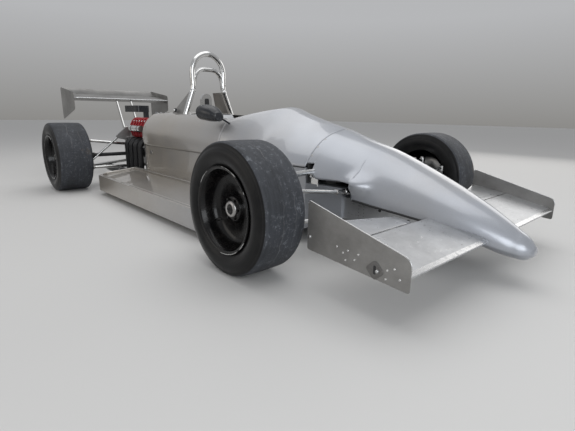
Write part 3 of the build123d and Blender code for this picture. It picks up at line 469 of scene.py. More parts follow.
lip_rows = np.linspace(-0.0055, 0.016, 7)
lip_height = 0.0032 * np.sin(np.linspace(0, np.pi, 7)) ** 0.5
lip_stations = nose_rear_x + lip_rows
lip_shape = through((lip_stations - nose_rear_x) / nose_length, nose_table[:, 0], nose_table[:, 1:])
lip_grid = body_grid(
    lip_stations, lip_shape, np.full(7, 0.5), np.full(7, notch_z),
    nose_crown_columns, nose_side_columns, nose_softness)
lip_grid, lip_normal = raised(lip_grid, (lip_height - 0.0006)[:, None, None])
fit(skin("nose_lip", lip_grid, flip=True), "chassis", paint, "body_paint")
middle = lip_grid.shape[1] // 2
fastener_columns = np.array((6, 14, 23, middle - 4, middle + 4, -24, -15, -7))
fastener_head = ((0.0, 1.0), (0.7, 0.98), (1.0, 0.8), (1.0, 0.45), (0.6, 0.38), (0.6, 0.0))
fastener_mesh = studs(
    "nose_fasteners", lip_grid[3, fastener_columns], lip_normal[3, fastener_columns], 0.0062, 0.0022,
    16, fastener_head)
fit(fastener_mesh, "chassis", steel, "polished_steel")


def on_side(grid, normal, x, column):
    """The point and normal of a bodywork grid at the station nearest x."""
    row = int(np.argmin(np.abs(grid[:, column, 0] - x)))
    return grid[row, column], normal[row, column]


nose_out, nose_normal = raised(nose_side, 0.0002)
nose_screw_x = (nose_rear_x + 0.105, nose_rear_x + 0.33, nose_rear_x + 0.60)
screw_spots = [on_side(nose_out, nose_normal, x, column) for x in nose_screw_x for column in (2, -3)]
screw_mesh = studs(
    "nose_screws", [spot[0] for spot in screw_spots], [spot[1] for spot in screw_spots], 0.0040, 0.0014)
fit(screw_mesh, "chassis", steel, "polished_steel")

# Cowl
# The raised cover in front of the driver, glass fibre, cut back in a wedge to its peak, with a thin
# black edging of rubber round the opening.
cowl_low, cowl_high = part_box("cockpit_cover")
cowl_rear_x, cowl_front_x = cowl_low.x, cowl_high.x
# Columns: share of the length, crown z, ridge half width, ridge z, edge half width, edge z, bow
cowl_table = np.array((
    (0.000, 0.632, 0.262, 0.612, 0.345, 0.400, 0.025),
    (0.096, 0.650, 0.226, 0.632, 0.342, 0.400, 0.022),
    (0.193, 0.668, 0.182, 0.651, 0.338, 0.400, 0.019),
    (0.309, 0.685, 0.118, 0.671, 0.332, 0.400, 0.016),
    (0.426, 0.690, 0.056, 0.682, 0.326, 0.400, 0.014),
    (0.571, 0.658, 0.048, 0.651, 0.320, 0.400, 0.020),
    (0.715, 0.629, 0.048, 0.622, 0.314, 0.400, 0.028),
    (1.000, 0.578, 0.050, 0.571, 0.303, 0.400, 0.036),
))
shell_thickness = 0.006
peak_x = cowl_rear_x + 0.286
cowl_stations = np.unique(np.concatenate((np.linspace(cowl_rear_x, cowl_front_x, 110), (peak_x,))))
cowl_rows = through(
    (cowl_stations - cowl_rear_x) / (cowl_front_x - cowl_rear_x), cowl_table[:, 0], cowl_table[:, 1:])
# Columns: x from the peak, half width of the opening
rim_table = np.array(((-0.290, 0.250), (-0.148, 0.172), (-0.050, 0.085), (0.0, 0.050), (0.439, 0.050)))
cowl_rim = np.interp(cowl_stations - peak_x, rim_table[:, 0], rim_table[:, 1])
crown_columns, side_columns = (16, 8), 26
cowl_grid = body_grid(
    cowl_stations, cowl_rows, np.clip(cowl_rim / cowl_rows[:, 1], 0, 0.96), np.zeros(len(cowl_stations)),
    crown_columns, side_columns, 0.9)
centre_column = cowl_grid.shape[1] // 2
cowl_keep = np.ones((cowl_grid.shape[0] - 1, cowl_grid.shape[1] - 1), bool)
opened = cowl_stations[:-1] < peak_x - 1e-6
rim_half = crown_columns[0] - 1
rim_columns = slice(centre_column - rim_half, centre_column + rim_half)
cowl_keep[:len(opened), rim_columns] = ~opened[:, None]
cowl_mesh = skin("cowl", cowl_grid, keep=cowl_keep, flip=True)
cowl = fit(cowl_mesh, "chassis", paint, "body_paint", "cockpit_cover")
cowl_wall = cowl.modifiers.new("moulding", "SOLIDIFY")
cowl_wall.thickness = shell_thickness
cowl_wall.offset = -1


def plain_finish(name, base, metallic, low, high, scale=30, bump=0.2, distance=0.001):
    """A finish of one colour with uneven gloss, slight staining and a fine grain."""
    material, shader = shader_material(name, base, metallic, low)
    tree = material.node_tree
    patch = ramp_node(tree, noise_node(tree, scale / 4, 5.0, 0.65), 0.35, 0.75)
    darker = tuple(0.7 * value for value in base)
    tree.links.new(mix_node(tree, base, darker, patch), shader.inputs["Base Color"])
    tree.links.new(ramp_node(tree, patch, 0, 1, low, high), shader.inputs["Roughness"])
    bump_node(tree, shader, noise_node(tree, scale * 6, 4.0), bump, distance)
    return material


def rod(name, path, radius, sides=14, level=(0.0, 0.0, 1.0)):
    """A round bar along a path: circles square to its own gradient, closed by a point at its start.

    radius may be one number or one for each point, and level is a direction never along the path.
    """
    path = np.asarray(path, float)
    along = np.gradient(path, axis=0)
    along /= np.linalg.norm(along, axis=1, keepdims=True)
    first = np.cross(np.asarray(level, float), along)
    first /= np.linalg.norm(first, axis=1, keepdims=True)
    second = np.cross(along, first)
    turn = np.linspace(0, 2 * np.pi, sides, endpoint=False)[None, :, None]
    size = np.broadcast_to(np.asarray(radius, float), (len(path),))[:, None, None]
    grid = path[:, None] + size * (np.cos(turn) * first[:, None] + np.sin(turn) * second[:, None])
    start = np.repeat(path[:1, None], sides, axis=1)
    return skin(name, np.concatenate((start, grid), axis=0), wrap=True)


matt_black = plain_finish("matt_black", (0.022, 0.022, 0.023), 0.0, 0.55, 0.75)
edging_radius, edging_level = 0.0045, (0.0, 0.02, 1.0)
first_opened = np.flatnonzero(opened)
rim_left = cowl_grid[first_opened, centre_column + rim_half]
rim_right = cowl_grid[first_opened, centre_column - rim_half]
front_row = first_opened[-1] + 1
rim_front = cowl_grid[front_row, centre_column + rim_half - 1:centre_column - rim_half:-1]
rim_path = np.concatenate((rim_left, rim_front, rim_right[::-1]))[::2] + (0, 0, -0.001)
mesh = rod("cowl_edging", rim_path, edging_radius, 8, edging_level)
fit(mesh, "chassis", matt_black, "black_trim")

# Rear cover
# The glass fibre shell round the cockpit and over the tank bay, nearly square at its back, where a
# raised lip runs round it and a flat wall closes it.
cover_low, cover_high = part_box("rear_cover")
cover_rear_x, cover_front_x = cover_low.x, cover_high.x
hoop_gap = 0.013
cockpit_rear_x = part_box("roll_hoops")[1].x + hoop_gap
# Columns: x, crown z, ridge half width, ridge z, edge half width, edge z, bow
cover_table = np.array((
    (cover_rear_x, 0.642, 0.240, 0.626, 0.322, 0.400, 0.042),
    (cover_rear_x + 0.022, 0.651, 0.250, 0.634, 0.340, 0.400, 0.048),
    (cover_rear_x + 0.063, 0.654, 0.252, 0.636, 0.349, 0.400, 0.050),
    (cover_rear_x + 0.463, 0.654, 0.244, 0.636, 0.350, 0.400, 0.050),
    (cover_front_x - 0.310, 0.648, 0.250, 0.628, 0.350, 0.400, 0.040),
    (cover_front_x, 0.632, 0.262, 0.612, 0.345, 0.400, 0.025),
))
cover_stations = np.unique(np.concatenate((
    cover_rear_x + np.linspace(0, 0.08, 12), np.linspace(cover_rear_x + 0.08, cover_front_x, 90),
    (cockpit_rear_x,))))
cover_rows = through(cover_stations, cover_table[:, 0], cover_table[:, 1:])
cover_rim = np.interp(
    cover_stations, (cockpit_rear_x, cockpit_rear_x + 0.12, cover_front_x), (0.205, 0.228, 0.250))
cover_outline = body_grid(
    cover_stations, cover_rows, np.clip(cover_rim / cover_rows[:, 1], 0, 0.96),
    np.zeros(len(cover_stations)), crown_columns, side_columns, 1.6)
wall_middle = np.array((cover_rear_x, 0, 0.47))
cover_wall_rows = [wall_middle + (cover_outline[:1] - wall_middle) * share for share in (0.02, 0.5, 0.97)]
cover_grid = np.concatenate(cover_wall_rows + [cover_outline], axis=0)
cover_keep = np.ones((cover_grid.shape[0] - 1, cover_grid.shape[1] - 1), bool)
cover_open = cover_stations[:-1] > cockpit_rear_x - 1e-6
cover_keep[len(cover_wall_rows):, rim_columns] = ~cover_open[:, None]
cover_mesh = skin("rear_shell", cover_grid, keep=cover_keep, flip=True)
rear_shell = fit(cover_mesh, "chassis", paint, "body_paint", "rear_cover")
rear_shell_wall = rear_shell.modifiers.new("moulding", "SOLIDIFY")
rear_shell_wall.thickness = shell_thickness
rear_shell_wall.offset = -1
mesh = rod("rear_lip", cover_outline[5, 1:-1], 0.0042, 8, (1.0, 0.0, 0.0))
fit(mesh, "chassis", paint, "body_paint")
rim_rows = np.flatnonzero(cover_stations > cockpit_rear_x - 1e-6)
side_rim = [cover_outline[rim_rows, centre_column + hand * rim_half] for hand in (1, -1)]
back_rim = cover_outline[rim_rows[0], centre_column + rim_half - 1:centre_column - rim_half:-1]
cockpit_rim = np.concatenate((side_rim[0][::-1], back_rim, side_rim[1]))[::2] + (0, 0, -0.001)
mesh = rod("cockpit_edging", cockpit_rim, edging_radius, 8, edging_level)
fit(mesh, "chassis", matt_black, "black_trim")

# Seam and hull
# The cover and cowl sit on the riveted aluminium hull, over a strip of black rubber that shows as a
# thin line. The hull is painted silver, with rows of rivets, a strap over a joint and a small latch.
hands = (("right", -1), ("left", 1))


def places_at(x, y, z):
    """Places from three coordinates, any of which may be one number for all of them."""
    return np.stack(np.broadcast_arrays(np.asarray(x, float), y, z), axis=-1)


def rounded_outline(corners, radii, steps=6):
    """A closed outline whose corners are cut by short curves, each a quadratic from side to side."""
    corners = np.asarray(corners, float)
    radii = np.broadcast_to(np.asarray(radii, float), (len(corners),))[:, None]
    before = np.roll(corners, 1, axis=0) - corners
    after = np.roll(corners, -1, axis=0) - corners
    enter = corners + radii * before / np.linalg.norm(before, axis=1, keepdims=True)
    leave = corners + radii * after / np.linalg.norm(after, axis=1, keepdims=True)
    t = np.linspace(0, 1, steps)[None, :, None]
    curve = (1 - t)**2 * enter[:, None] + 2 * t * (1 - t) * corners[:, None] + t**2 * leave[:, None]
    return curve.reshape(-1, 2)


def plate(name, outline, axis, near, far, edge=0.001):
    """A flat plate with eased edges: rings from the middle of one face over the edge to the other's.

    The outline is in the two directions other than axis, and near and far are places along it.
    """
    near, far = sorted((near, far))
    outline = np.asarray(outline, float)
    following = np.roll(outline, -1, axis=0)
    area = np.sum(outline[:, 0] * following[:, 1] - outline[:, 1] * following[:, 0])
    middle = outline.mean(axis=0)
    reach = np.linalg.norm(outline - middle, axis=1, keepdims=True)
    inset = middle + (outline - middle) * (1 - edge / reach)
    core = middle + (outline - middle) * 0.001
    flat = np.stack((core, inset, outline, outline, inset, core))
    depth = np.array((far, far, far - edge, near + edge, near, near))
    depth = np.broadcast_to(depth[:, None, None], (*flat.shape[:2], 1))
    grid = np.concatenate((flat[..., :axis], depth, flat[..., axis:]), axis=-1)
    mesh = skin(name, grid, wrap=True, flip=(area < 0) != (axis == 1))
    mesh.polygons.foreach_set("use_smooth", np.zeros(len(mesh.polygons), bool))
    return mesh


# Columns: x and y of the seam
seam_half = np.array((
    (cover_rear_x + 0.004, 0.3235), (cover_rear_x + 0.063, 0.3505), (cowl_rear_x, 0.3465),
    (cowl_front_x - 0.004, 0.3045)))
seam_x = np.linspace(seam_half[0, 0], seam_half[-1, 0], 80)
seam_y = np.interp(seam_x, seam_half[:, 0], seam_half[:, 1])
dark_rivet = metal_finish("dark_rivet", (0.20, 0.195, 0.19), 0.38)
hull_y, strap_thickness, latch_thickness = 0.3502, 0.0022, 0.006
strap_outline = rounded_outline(
    ((-0.510, 0.125), (-0.464, 0.125), (-0.464, 0.396), (-0.510, 0.396)), 0.006)
latch_outline = rounded_outline(
    ((-0.422, 0.334), (-0.390, 0.334), (-0.390, 0.360), (-0.422, 0.360)), 0.005)
hull_rivet_x, hull_rivet_z = np.arange(-0.38, 0.53, 0.055), 0.236
strap_rivet_rear_x, strap_rivet_front_x, strap_rivet_z = -0.502, -0.472, np.linspace(0.14, 0.38, 9)
seam_radius, rivet_radius, rivet_height = 0.0034, 0.0026, 0.0010
for hand, side in hands:
    mesh = rod(f"seam_{hand}", places_at(seam_x, side * seam_y, cover_low.z), seam_radius, 8)
    fit(mesh, "chassis", matt_black, "black_trim")
for hand, side in hands:
    strap_y = side * (hull_y + strap_thickness)
    mesh = plate(f"hull_strap_{hand}", strap_outline, 1, side * hull_y, strap_y, 0.0008)
    fit(mesh, "chassis", paint, "body_paint")
    latch_y = side * (hull_y + latch_thickness)
    mesh = plate(f"hull_latch_{hand}", latch_outline, 1, side * hull_y, latch_y, 0.0015)
    fit(mesh, "chassis", steel, "polished_steel")
    rivets = np.concatenate((
        places_at(hull_rivet_x, side * hull_y, hull_rivet_z),
        places_at(strap_rivet_rear_x, strap_y, strap_rivet_z),
        places_at(strap_rivet_front_x, strap_y, strap_rivet_z)))
    mesh = studs(f"hull_rivets_{hand}", rivets, (0, side, 0), rivet_radius, rivet_height)
    fit(mesh, "chassis", dark_rivet, "bare_sheet")

# Side pods
# Low glass fibre pods with a flat sunk top. Their raised lips carry beads of bright metal, a painted
# highlight along the rounded edges, and a row of small screws holds each one to the hull.
pod_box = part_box("side_pod_right")
pod_rear_x, pod_front_x = pod_box[0].x, pod_box[1].x
pod_outer_y, pod_inner_y = 0.686, 0.3503
pod_inner_z, pod_outer_z = 0.196, 0.158


def pod_top(x, y, lift=0.0):
    """A place on the slope of the pod's top."""
    share = (y - pod_inner_y) / (pod_outer_y - pod_inner_y)
    return places_at(x, y, pod_inner_z + share * (pod_outer_z - pod_inner_z) + lift)


# Painted highlight: the beads are bright metal where the painted lips catch the light.
edge_highlight_metal = metal_finish("edge_highlight_metal", (0.60, 0.58, 0.55), 0.34, 0.6)
border, bead_radius, bead_sink = 0.026, 0.0032, 0.0012
edge_corners = np.array((
    (pod_rear_x, pod_inner_y + 0.006), (pod_rear_x, pod_outer_y - 0.070),
    (pod_rear_x + 0.070, pod_outer_y), (pod_front_x - 0.060, pod_outer_y),
    (pod_front_x, pod_outer_y - 0.080), (pod_front_x, pod_inner_y + 0.006)))
inner_corners = np.array((
    (pod_rear_x + border, pod_inner_y + border), (pod_rear_x + border, pod_outer_y - 0.080),
    (pod_rear_x + 0.080, pod_outer_y - border), (pod_front_x - 0.070, pod_outer_y - border),
    (pod_front_x - border, pod_outer_y - 0.088), (pod_front_x - border, pod_inner_y + border)))
outer_bead = rounded_outline(edge_corners, 0.022, 5)
outer_bead += 0.0030 * np.sign(outer_bead.mean(axis=0) - outer_bead)
inner_bead = rounded_outline(inner_corners, 0.022, 5)
inner_bead -= 0.0015 * np.sign(inner_bead.mean(axis=0) - inner_bead)
inner_bead = np.concatenate((inner_bead, inner_bead[:1]))
pod_screw_x = np.arange(pod_rear_x + 0.09, pod_front_x - 0.05, 0.14)
pod_screws = pod_top(pod_screw_x, pod_inner_y + 0.013, -0.0002)
for hand, side in hands:
    for label, outline in (("outer", outer_bead[4:-4]), ("inner", inner_bead)):
        bead = pod_top(outline[:, 0], outline[:, 1], -bead_sink) * (1, side, 1)
        mesh = rod(f"pod_{label}_edge_{hand}", bead, bead_radius, 8)
        fit(mesh, "chassis", edge_highlight_metal, "bare_sheet")
    mesh = studs(f"pod_screws_{hand}", pod_screws * (1, side, 1), (0, 0.1 * side, 1), 0.0045, 0.0016)
    fit(mesh, "chassis", dark_rivet, "bare_sheet")


# Crash box
# Riveted aluminium sheet under the nose, bare and dulled, with rows of rivets up its sides.
def bare_aluminium(name, dark, light, roughness):
    """Bare aluminium sheet: brushed, scratched and dulled grey brown by handling."""
    material, shader = shader_material(name, light, 0.85, roughness)
    tree = material.node_tree
    brushed = noise_node(tree, 40, 4.0, 0.6, (1.0, 1.0, 9.0))
    stain = ramp_node(tree, noise_node(tree, 5, 6.0, 0.65), 0.35, 0.7)
    scratches = ramp_node(tree, noise_node(tree, 26, 7.0, 0.8, (1.0, 6.0, 6.0)), 0.66, 0.74, 0.0, 0.5)
    base = mix_node(tree, dark, light, stain)
    base = mix_node(tree, base, tuple(1.35 * value for value in light), scratches)
    tree.links.new(base, shader.inputs["Base Color"])
    gloss = ramp_node(tree, brushed, 0.3, 0.7, roughness, roughness + 0.16)
    tree.links.new(gloss, shader.inputs["Roughness"])
    bump_node(tree, shader, brushed, 0.06, 0.0006)
    return material


sheet_metal = bare_aluminium("bare_aluminium", (0.23, 0.225, 0.218), (0.35, 0.345, 0.335), 0.36)
disc_head = ((0.0, 1.0), (1.0, 0.96), (1.0, 0.5), (1.0, 0.0))
crash_low, crash_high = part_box("crash_box")
# Columns: x, half width of the box
crash_half = np.array(((crash_low.x, 0.224), (crash_high.x, 0.144)))
crash_slope = np.array((crash_half[0, 1] - crash_half[1, 1], crash_half[1, 0] - crash_half[0, 0], 0.0))
crash_slope /= np.linalg.norm(crash_slope)
top_row_z, low_row_z = 0.258, 0.176
crash_row_x, crash_column_z = np.arange(1.61, 1.90, 0.032), np.linspace(0.190, top_row_z, 5)
crash_rivets = np.concatenate((
    places_at(1.560, 0, crash_column_z), places_at(1.585, 0, crash_column_z),
    places_at(crash_row_x, 0, top_row_z), places_at(crash_row_x, 0, low_row_z)))
crash_rivets[:, 1] = np.interp(crash_rivets[:, 0], crash_half[:, 0], crash_half[:, 1])
# Painted shade: black discs on the sides stand in for the dark inside of holes in the sheet.
crash_holes = np.array(((1.665, 0, 0.232), (1.72, 0, 0.200), (1.80, 0, 0.205)))
crash_holes[:, 1] = np.interp(crash_holes[:, 0], crash_half[:, 0], crash_half[:, 1]) + 0.0008
for hand, side in hands:
    mirrored = (1, side, 1)
    outward = crash_slope * mirrored
    mesh = studs(f"crash_box_rivets_{hand}", crash_rivets * mirrored, outward, 0.0024, 0.0010)
    fit(mesh, "chassis", dark_rivet, "bare_sheet")
    mesh = studs(
        f"crash_box_holes_{hand}", crash_holes * mirrored, outward, 0.0075, 0.0006, 16, disc_head)
    fit(mesh, "chassis", matt_black, "black_trim")

# Shadow strip
# A black rod along the nose's lower edge, a painted shadow for the dark line that parts it from the crash
# box and wings.
shadow_strip_radius, shadow_strip_front_x = 0.0060, nose_tip_x - 0.240
shadow_strip_rows = (nose_stations > arch_front_x + 0.005) & (nose_stations < shadow_strip_front_x)
for hand, column, side in (("right", 0, -1), ("left", -1, 1)):
    shadow_strip_path = nose_side[shadow_strip_rows, column] + (0, 0.0010 * side, 0.0010)
    mesh = rod(f"nose_shadow_strip_{hand}", shadow_strip_path[::2], shadow_strip_radius, 8)
    fit(mesh, "chassis", matt_black, "black_trim")

# Front wings and flaps
# Aluminium planes each side of the nose. The leading edge is a polished half round, the skin behind it
# is bare sheet, and a thinner flap widens to the tip.
polished = metal_finish("polished_edge", (0.62, 0.625, 0.63), 0.26)
wing_skin = bare_aluminium("wing_skin", (0.40, 0.405, 0.415), (0.56, 0.57, 0.585), 0.26)


def half_thickness(s, thickness):
    """Half of a wing's thickness at a share of its chord: round at the front and thin at the rear."""
    return thickness / 2 * (2.6 * np.sqrt(s) - 1.3 * s - 1.3 * s**2) / 0.905


def aerofoil(name, root, tip, side, thickness, camber, bright_front, bright_rear, steps=28, spans=12):
    """A wing between two chords: a round nosed thickness law either side of a bowed mean line.

    root and tip hold front x and z, rear x and z, and y. The root is closed to the chord's middle, the
    tip is left open against its plate, and the faces near the front or rear edge are polished.
    """
    root, tip = np.asarray(root, float), np.asarray(tip, float)
    s = (1 - np.cos(np.linspace(0, np.pi, steps))) / 2
    half = half_thickness(s, thickness)
    mean = -4 * camber * s * (1 - s)
    loop_s = np.concatenate((s[::-1], s[1:-1]))
    loop_z = np.concatenate(((mean + half)[::-1], (mean - half)[1:-1]))
    share = np.linspace(0, 1, spans)[:, None]
    chord = root + (tip - root) * share
    x = chord[:, 0:1] + (chord[:, 2:3] - chord[:, 0:1]) * loop_s
    z = chord[:, 1:2] + (chord[:, 3:4] - chord[:, 1:2]) * loop_s + loop_z
    y = side * np.broadcast_to(chord[:, 4:5], x.shape)
    grid = np.stack((x, y, z), axis=-1)
    middle = grid[:1].mean(axis=1, keepdims=True)
    root_cap = middle + 0.002 * (grid[:1] - middle)
    mesh = skin(name, np.concatenate((root_cap, grid), axis=0), wrap=True, flip=side < 0)
    spots = np.empty(len(mesh.polygons) * 3)
    mesh.polygons.foreach_get("center", spots)
    spots = spots.reshape(-1, 3)
    y_share = np.clip((np.abs(spots[:, 1]) - root[4]) / (tip[4] - root[4]), 0, 1)[:, None]
    here = root + (tip - root) * y_share
    along = (spots[:, 0] - here[:, 0]) / (here[:, 2] - here[:, 0])
    bright = (along < bright_front) | (along > 1 - bright_rear)
    mesh.materials.append(wing_skin)
    mesh.materials.append(polished)
    mesh.polygons.foreach_set("material_index", bright.astype(np.int32))
    return mesh


wing_tip_y, wing_root_y, flap_root_y = 0.6935, 0.120, 0.290
wing_thickness, wing_camber = 0.0215, 0.006
wing_root = (2.1315, 0.1835, 1.8940, 0.2405, wing_root_y)
wing_tip = (2.1315, 0.1855, 1.8940, 0.2420, wing_tip_y)
flap_root = (1.8850, 0.2400, 1.8030, 0.2490, flap_root_y)
flap_tip = (1.8850, 0.2400, 1.7030, 0.2675, wing_tip_y)
# Columns: x, y
wing_rivets = np.concatenate((
    ((1.905, 0.244), (1.930, 0.260), (1.956, 0.264), (2.007, 0.257), (2.040, 0.267), (2.096, 0.285)),
    [(x, 0.670) for x in np.linspace(1.915, 2.09, 6)]))
rivet_share = (wing_root[0] - wing_rivets[:, 0]) / (wing_root[0] - wing_root[2])
wing_rivet_z = (
    0.184 + rivet_share * 0.0570 - 0.024 * rivet_share * (1 - rivet_share)
    + half_thickness(rivet_share, wing_thickness))
for hand, side in hands:
    mesh = aerofoil(
        f"front_wing_{hand}", wing_root, wing_tip, side, wing_thickness, wing_camber, 0.085, 0.0)
    fit(mesh, "chassis", None, "bare_sheet", "front_wings")
    mesh = aerofoil(f"front_flap_{hand}", flap_root, flap_tip, side, 0.0075, 0.002, 0.02, 0.045)
    fit(mesh, "chassis", None, "bare_sheet", "front_flaps")
    places = places_at(wing_rivets[:, 0], side * wing_rivets[:, 1], wing_rivet_z - 0.0002)
    mesh = studs(f"front_wing_rivets_{hand}", places, (0.2, 0, 1), 0.0028, 0.0010)
    fit(mesh, "chassis", dark_rivet, "bare_sheet")

# Front end plates
# Flat aluminium sheets riveted to the wing tips, each with a rounded diamond of dark sheet that has a
# slot and a bright bolt. A second bolt at the rear holds the flap's angle.
bolt_head = ((0.0, 1.0), (0.8, 1.0), (1.0, 0.8), (1.0, 0.0))
plate_inner_y, plate_outer_y = 0.694, 0.697
patch_thickness = 0.0016
plate_corners = ((1.701, 0.170), (1.701, 0.358), (2.134, 0.2465), (2.134, 0.138))
plate_outline = rounded_outline(plate_corners, (0.010, 0.016, 0.030, 0.012), 8)
top_edge = plate_outline[plate_outline[:, 1] > 0.20]
top_edge = top_edge[np.argsort(top_edge[:, 0])]
plate_rivets = np.array((
    (1.844, 0.216), (1.893, 0.213), (1.872, 0.200), (1.937, 0.211), (1.884, 0.177), (1.922, 0.188),
    (2.076, 0.202), (2.051, 0.190), (2.047, 0.160), (2.097, 0.173)))
patch_outline = rounded_outline(((1.968, 0.178), (2.006, 0.214), (2.044, 0.178), (2.006, 0.142)), 0.014)
slot_outline = rounded_outline(
    ((2.001, 0.164), (2.011, 0.164), (2.011, 0.194), (2.001, 0.194)), 0.0045)
rivet_heads = metal_finish("rivet_heads", (0.62, 0.62, 0.61), 0.24)
for hand, side in hands:
    inner_y, outer_y, patch_y = side * plate_inner_y, side * plate_outer_y, plate_outer_y + patch_thickness
    mesh = plate(f"front_end_plate_{hand}", plate_outline, 1, inner_y, outer_y, 0.0007)
    fit(mesh, "chassis", sheet_metal, "bare_sheet", "front_end_plates")
    edge_path = places_at(
        top_edge[:, 0], side * (plate_inner_y + plate_outer_y) / 2, top_edge[:, 1] - 0.0008)
    mesh = rod(f"front_plate_edge_{hand}", edge_path, 0.0020, 8, (0.0, 1.0, 0.0))
    fit(mesh, "chassis", polished, "bare_sheet")
    for face, at_y, outward in (("outer", outer_y, side), ("inner", inner_y, -side)):
        places = places_at(plate_rivets[:, 0], at_y, plate_rivets[:, 1])
        mesh = studs(f"front_plate_rivets_{hand}_{face}", places, (0, outward, 0), 0.0046, 0.0018)
        fit(mesh, "chassis", rivet_heads, "bare_sheet")
    mesh = plate(f"front_plate_patch_{hand}", patch_outline, 1, outer_y, side * patch_y, 0.0005)
    fit(mesh, "chassis", dark_rivet, "bare_sheet")
    slot_near, slot_far = side * (plate_outer_y + 0.0012), side * (plate_outer_y + 0.0021)
    mesh = plate(f"front_plate_slot_{hand}", slot_outline, 1, slot_near, slot_far, 0.0003)
    fit(mesh, "chassis", matt_black, "black_trim")
    places = ((2.017, side * patch_y, 0.178), (1.716, outer_y, 0.221))
    mesh = studs(f"front_plate_bolts_{hand}", places, (0, side, 0), 0.0065, 0.0055, 6, bolt_head)
    fit(mesh, "chassis", polished, "polished_steel")


# Tyres
# Slick racing tyres, well worn: the tread is blue grey, torn and peeling round a wavy line, with chalky
# scuffs, and the plain side walls are black with a soft sheen in rings.
def lathe(name, profile, centre, segments, side=1):
    """A profile of offset along the axle and radius, turned once round the axle's line from the bottom."""
    profile = np.asarray(profile, float)
    turn = np.linspace(-np.pi / 2, 1.5 * np.pi, segments, endpoint=False)[None, :]
    y = centre[1] + side * profile[:, :1] + 0 * turn
    x = centre[0] + profile[:, 1:2] * np.cos(turn)
    z = centre[2] + profile[:, 1:2] * np.sin(turn)
    return skin(name, np.stack((x, y, z), axis=-1), wrap=True, flip=side < 0)


def box_middle(node):
    """The middle of a node's box, half its width and half its height."""
    low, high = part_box(node)
    middle = np.array(((low.x + high.x) / 2, (low.y + high.y) / 2, (low.z + high.z) / 2))
    return middle, (high.y - low.y) / 2, (high.z - low.z) / 2


def wavy_line(tree, share, sway, width, turns):
    """A line round the tyre at a share of its profile, swaying with a noise: 1 on it, 0 away from it."""
    wave = noise_node(tree, turns, 5.0, 0.62, (0.0, 1.0, 1.0), "UV")
    wave = ramp_node(tree, wave, 0.3, 0.7, share - sway, share + sway)
    apart = math_node(tree, "SUBTRACT", along_node(tree, "X", "UV"), wave)
    apart = math_node(tree, "ABSOLUTE", apart, 0.0)
    return ramp_node(tree, apart, width, 0.0)


def worn_slick():
    """Slick rubber that has run hot: blue grey, streaked, chalked, muddy and peeling along wavy lines."""
    material, shader = shader_material("worn_slick", (0.05, 0.05, 0.055), 0.0, 0.7)
    shader.inputs["Specular IOR Level"].default_value = 0.4
    tree = material.node_tree
    grain = noise_node(tree, 170, 5.0, 0.7)
    patches = ramp_node(tree, noise_node(tree, 7, 6.0, 0.65), 0.36, 0.68)
    streaks = ramp_node(tree, noise_node(tree, 1.0, 6.0, 0.6, (34.0, 5.0, 1.0), "UV"), 0.42, 0.66)
    scuffs = ramp_node(tree, noise_node(tree, 52, 8.0, 0.78), 0.54, 0.62)
    wide_line = wavy_line(tree, 0.470, 0.022, 0.006, 11.0)
    fine_line = wavy_line(tree, 0.585, 0.018, 0.003, 15.0)
    peel = math_node(tree, "MAXIMUM", wide_line, fine_line)
    peel = math_node(tree, "MULTIPLY", peel, ramp_node(tree, noise_node(tree, 5, 3.0, 0.6), 0.44, 0.56))
    base = mix_node(tree, (0.020, 0.022, 0.026), (0.042, 0.046, 0.055), patches)
    base = mix_node(tree, base, (0.060, 0.065, 0.076), math_node(tree, "MULTIPLY", streaks, 0.35))
    chalk = math_node(tree, "MULTIPLY", scuffs, patches)
    base = mix_node(tree, base, (0.22, 0.235, 0.26), math_node(tree, "MULTIPLY", chalk, 0.75))
    base = mix_node(tree, base, (0.135, 0.135, 0.14), math_node(tree, "MULTIPLY", peel, 0.60))
    mud = ramp_node(tree, noise_node(tree, 4.5, 5.0, 0.7), 0.66, 0.74)
    base = mix_node(tree, base, (0.12, 0.095, 0.07), math_node(tree, "MULTIPLY", mud, 0.7))
    tree.links.new(base, shader.inputs["Base Color"])
    tree.links.new(ramp_node(tree, grain, 0.2, 0.8, 0.5, 0.8), shader.inputs["Roughness"])
    height = math_node(tree, "ADD", grain, math_node(tree, "MULTIPLY", peel, 2.0))
    height = math_node(tree, "ADD", height, scuffs)
    bump_node(tree, shader, height, 0.40, 0.0013)
    return material


def side_rubber():
    """Side wall rubber: black with a soft sheen, faint rings of raised relief whose lighter colour is a
    painted sheen, and dust.
    """
    material, shader = shader_material("side_rubber", (0.018, 0.018, 0.019), 0.0, 0.42)
    shader.inputs["Specular IOR Level"].default_value = 0.22
    tree = material.node_tree
    dust = ramp_node(tree, noise_node(tree, 14, 6.0, 0.7), 0.45, 0.8)
    rings = noise_node(tree, 1.0, 3.0, 0.5, (150.0, 1.2, 1.0), "UV")
    base = mix_node(tree, (0.005, 0.005, 0.0055), (0.014, 0.0135, 0.013), dust)
    # Painted sheen: the rings lighten the colour as a sheen on the wall would.
    base = mix_node(tree, base, (0.030, 0.030, 0.031), ramp_node(tree, rings, 0.56, 0.72, 0.0, 0.5))
    tree.links.new(base, shader.inputs["Base Color"])
    tree.links.new(ramp_node(tree, dust, 0, 1, 0.33, 0.55), shader.inputs["Roughness"])
    height = math_node(tree, "ADD", math_node(tree, "MULTIPLY", noise_node(tree, 120, 4.0), 0.4), rings)
    bump_node(tree, shader, height, 0.25, 0.0012)
    return material


tread_rubber, wall_rubber = worn_slick(), side_rubber()
flange_radius, shoulder, tread_crown = 0.180, 0.020, 0.0015


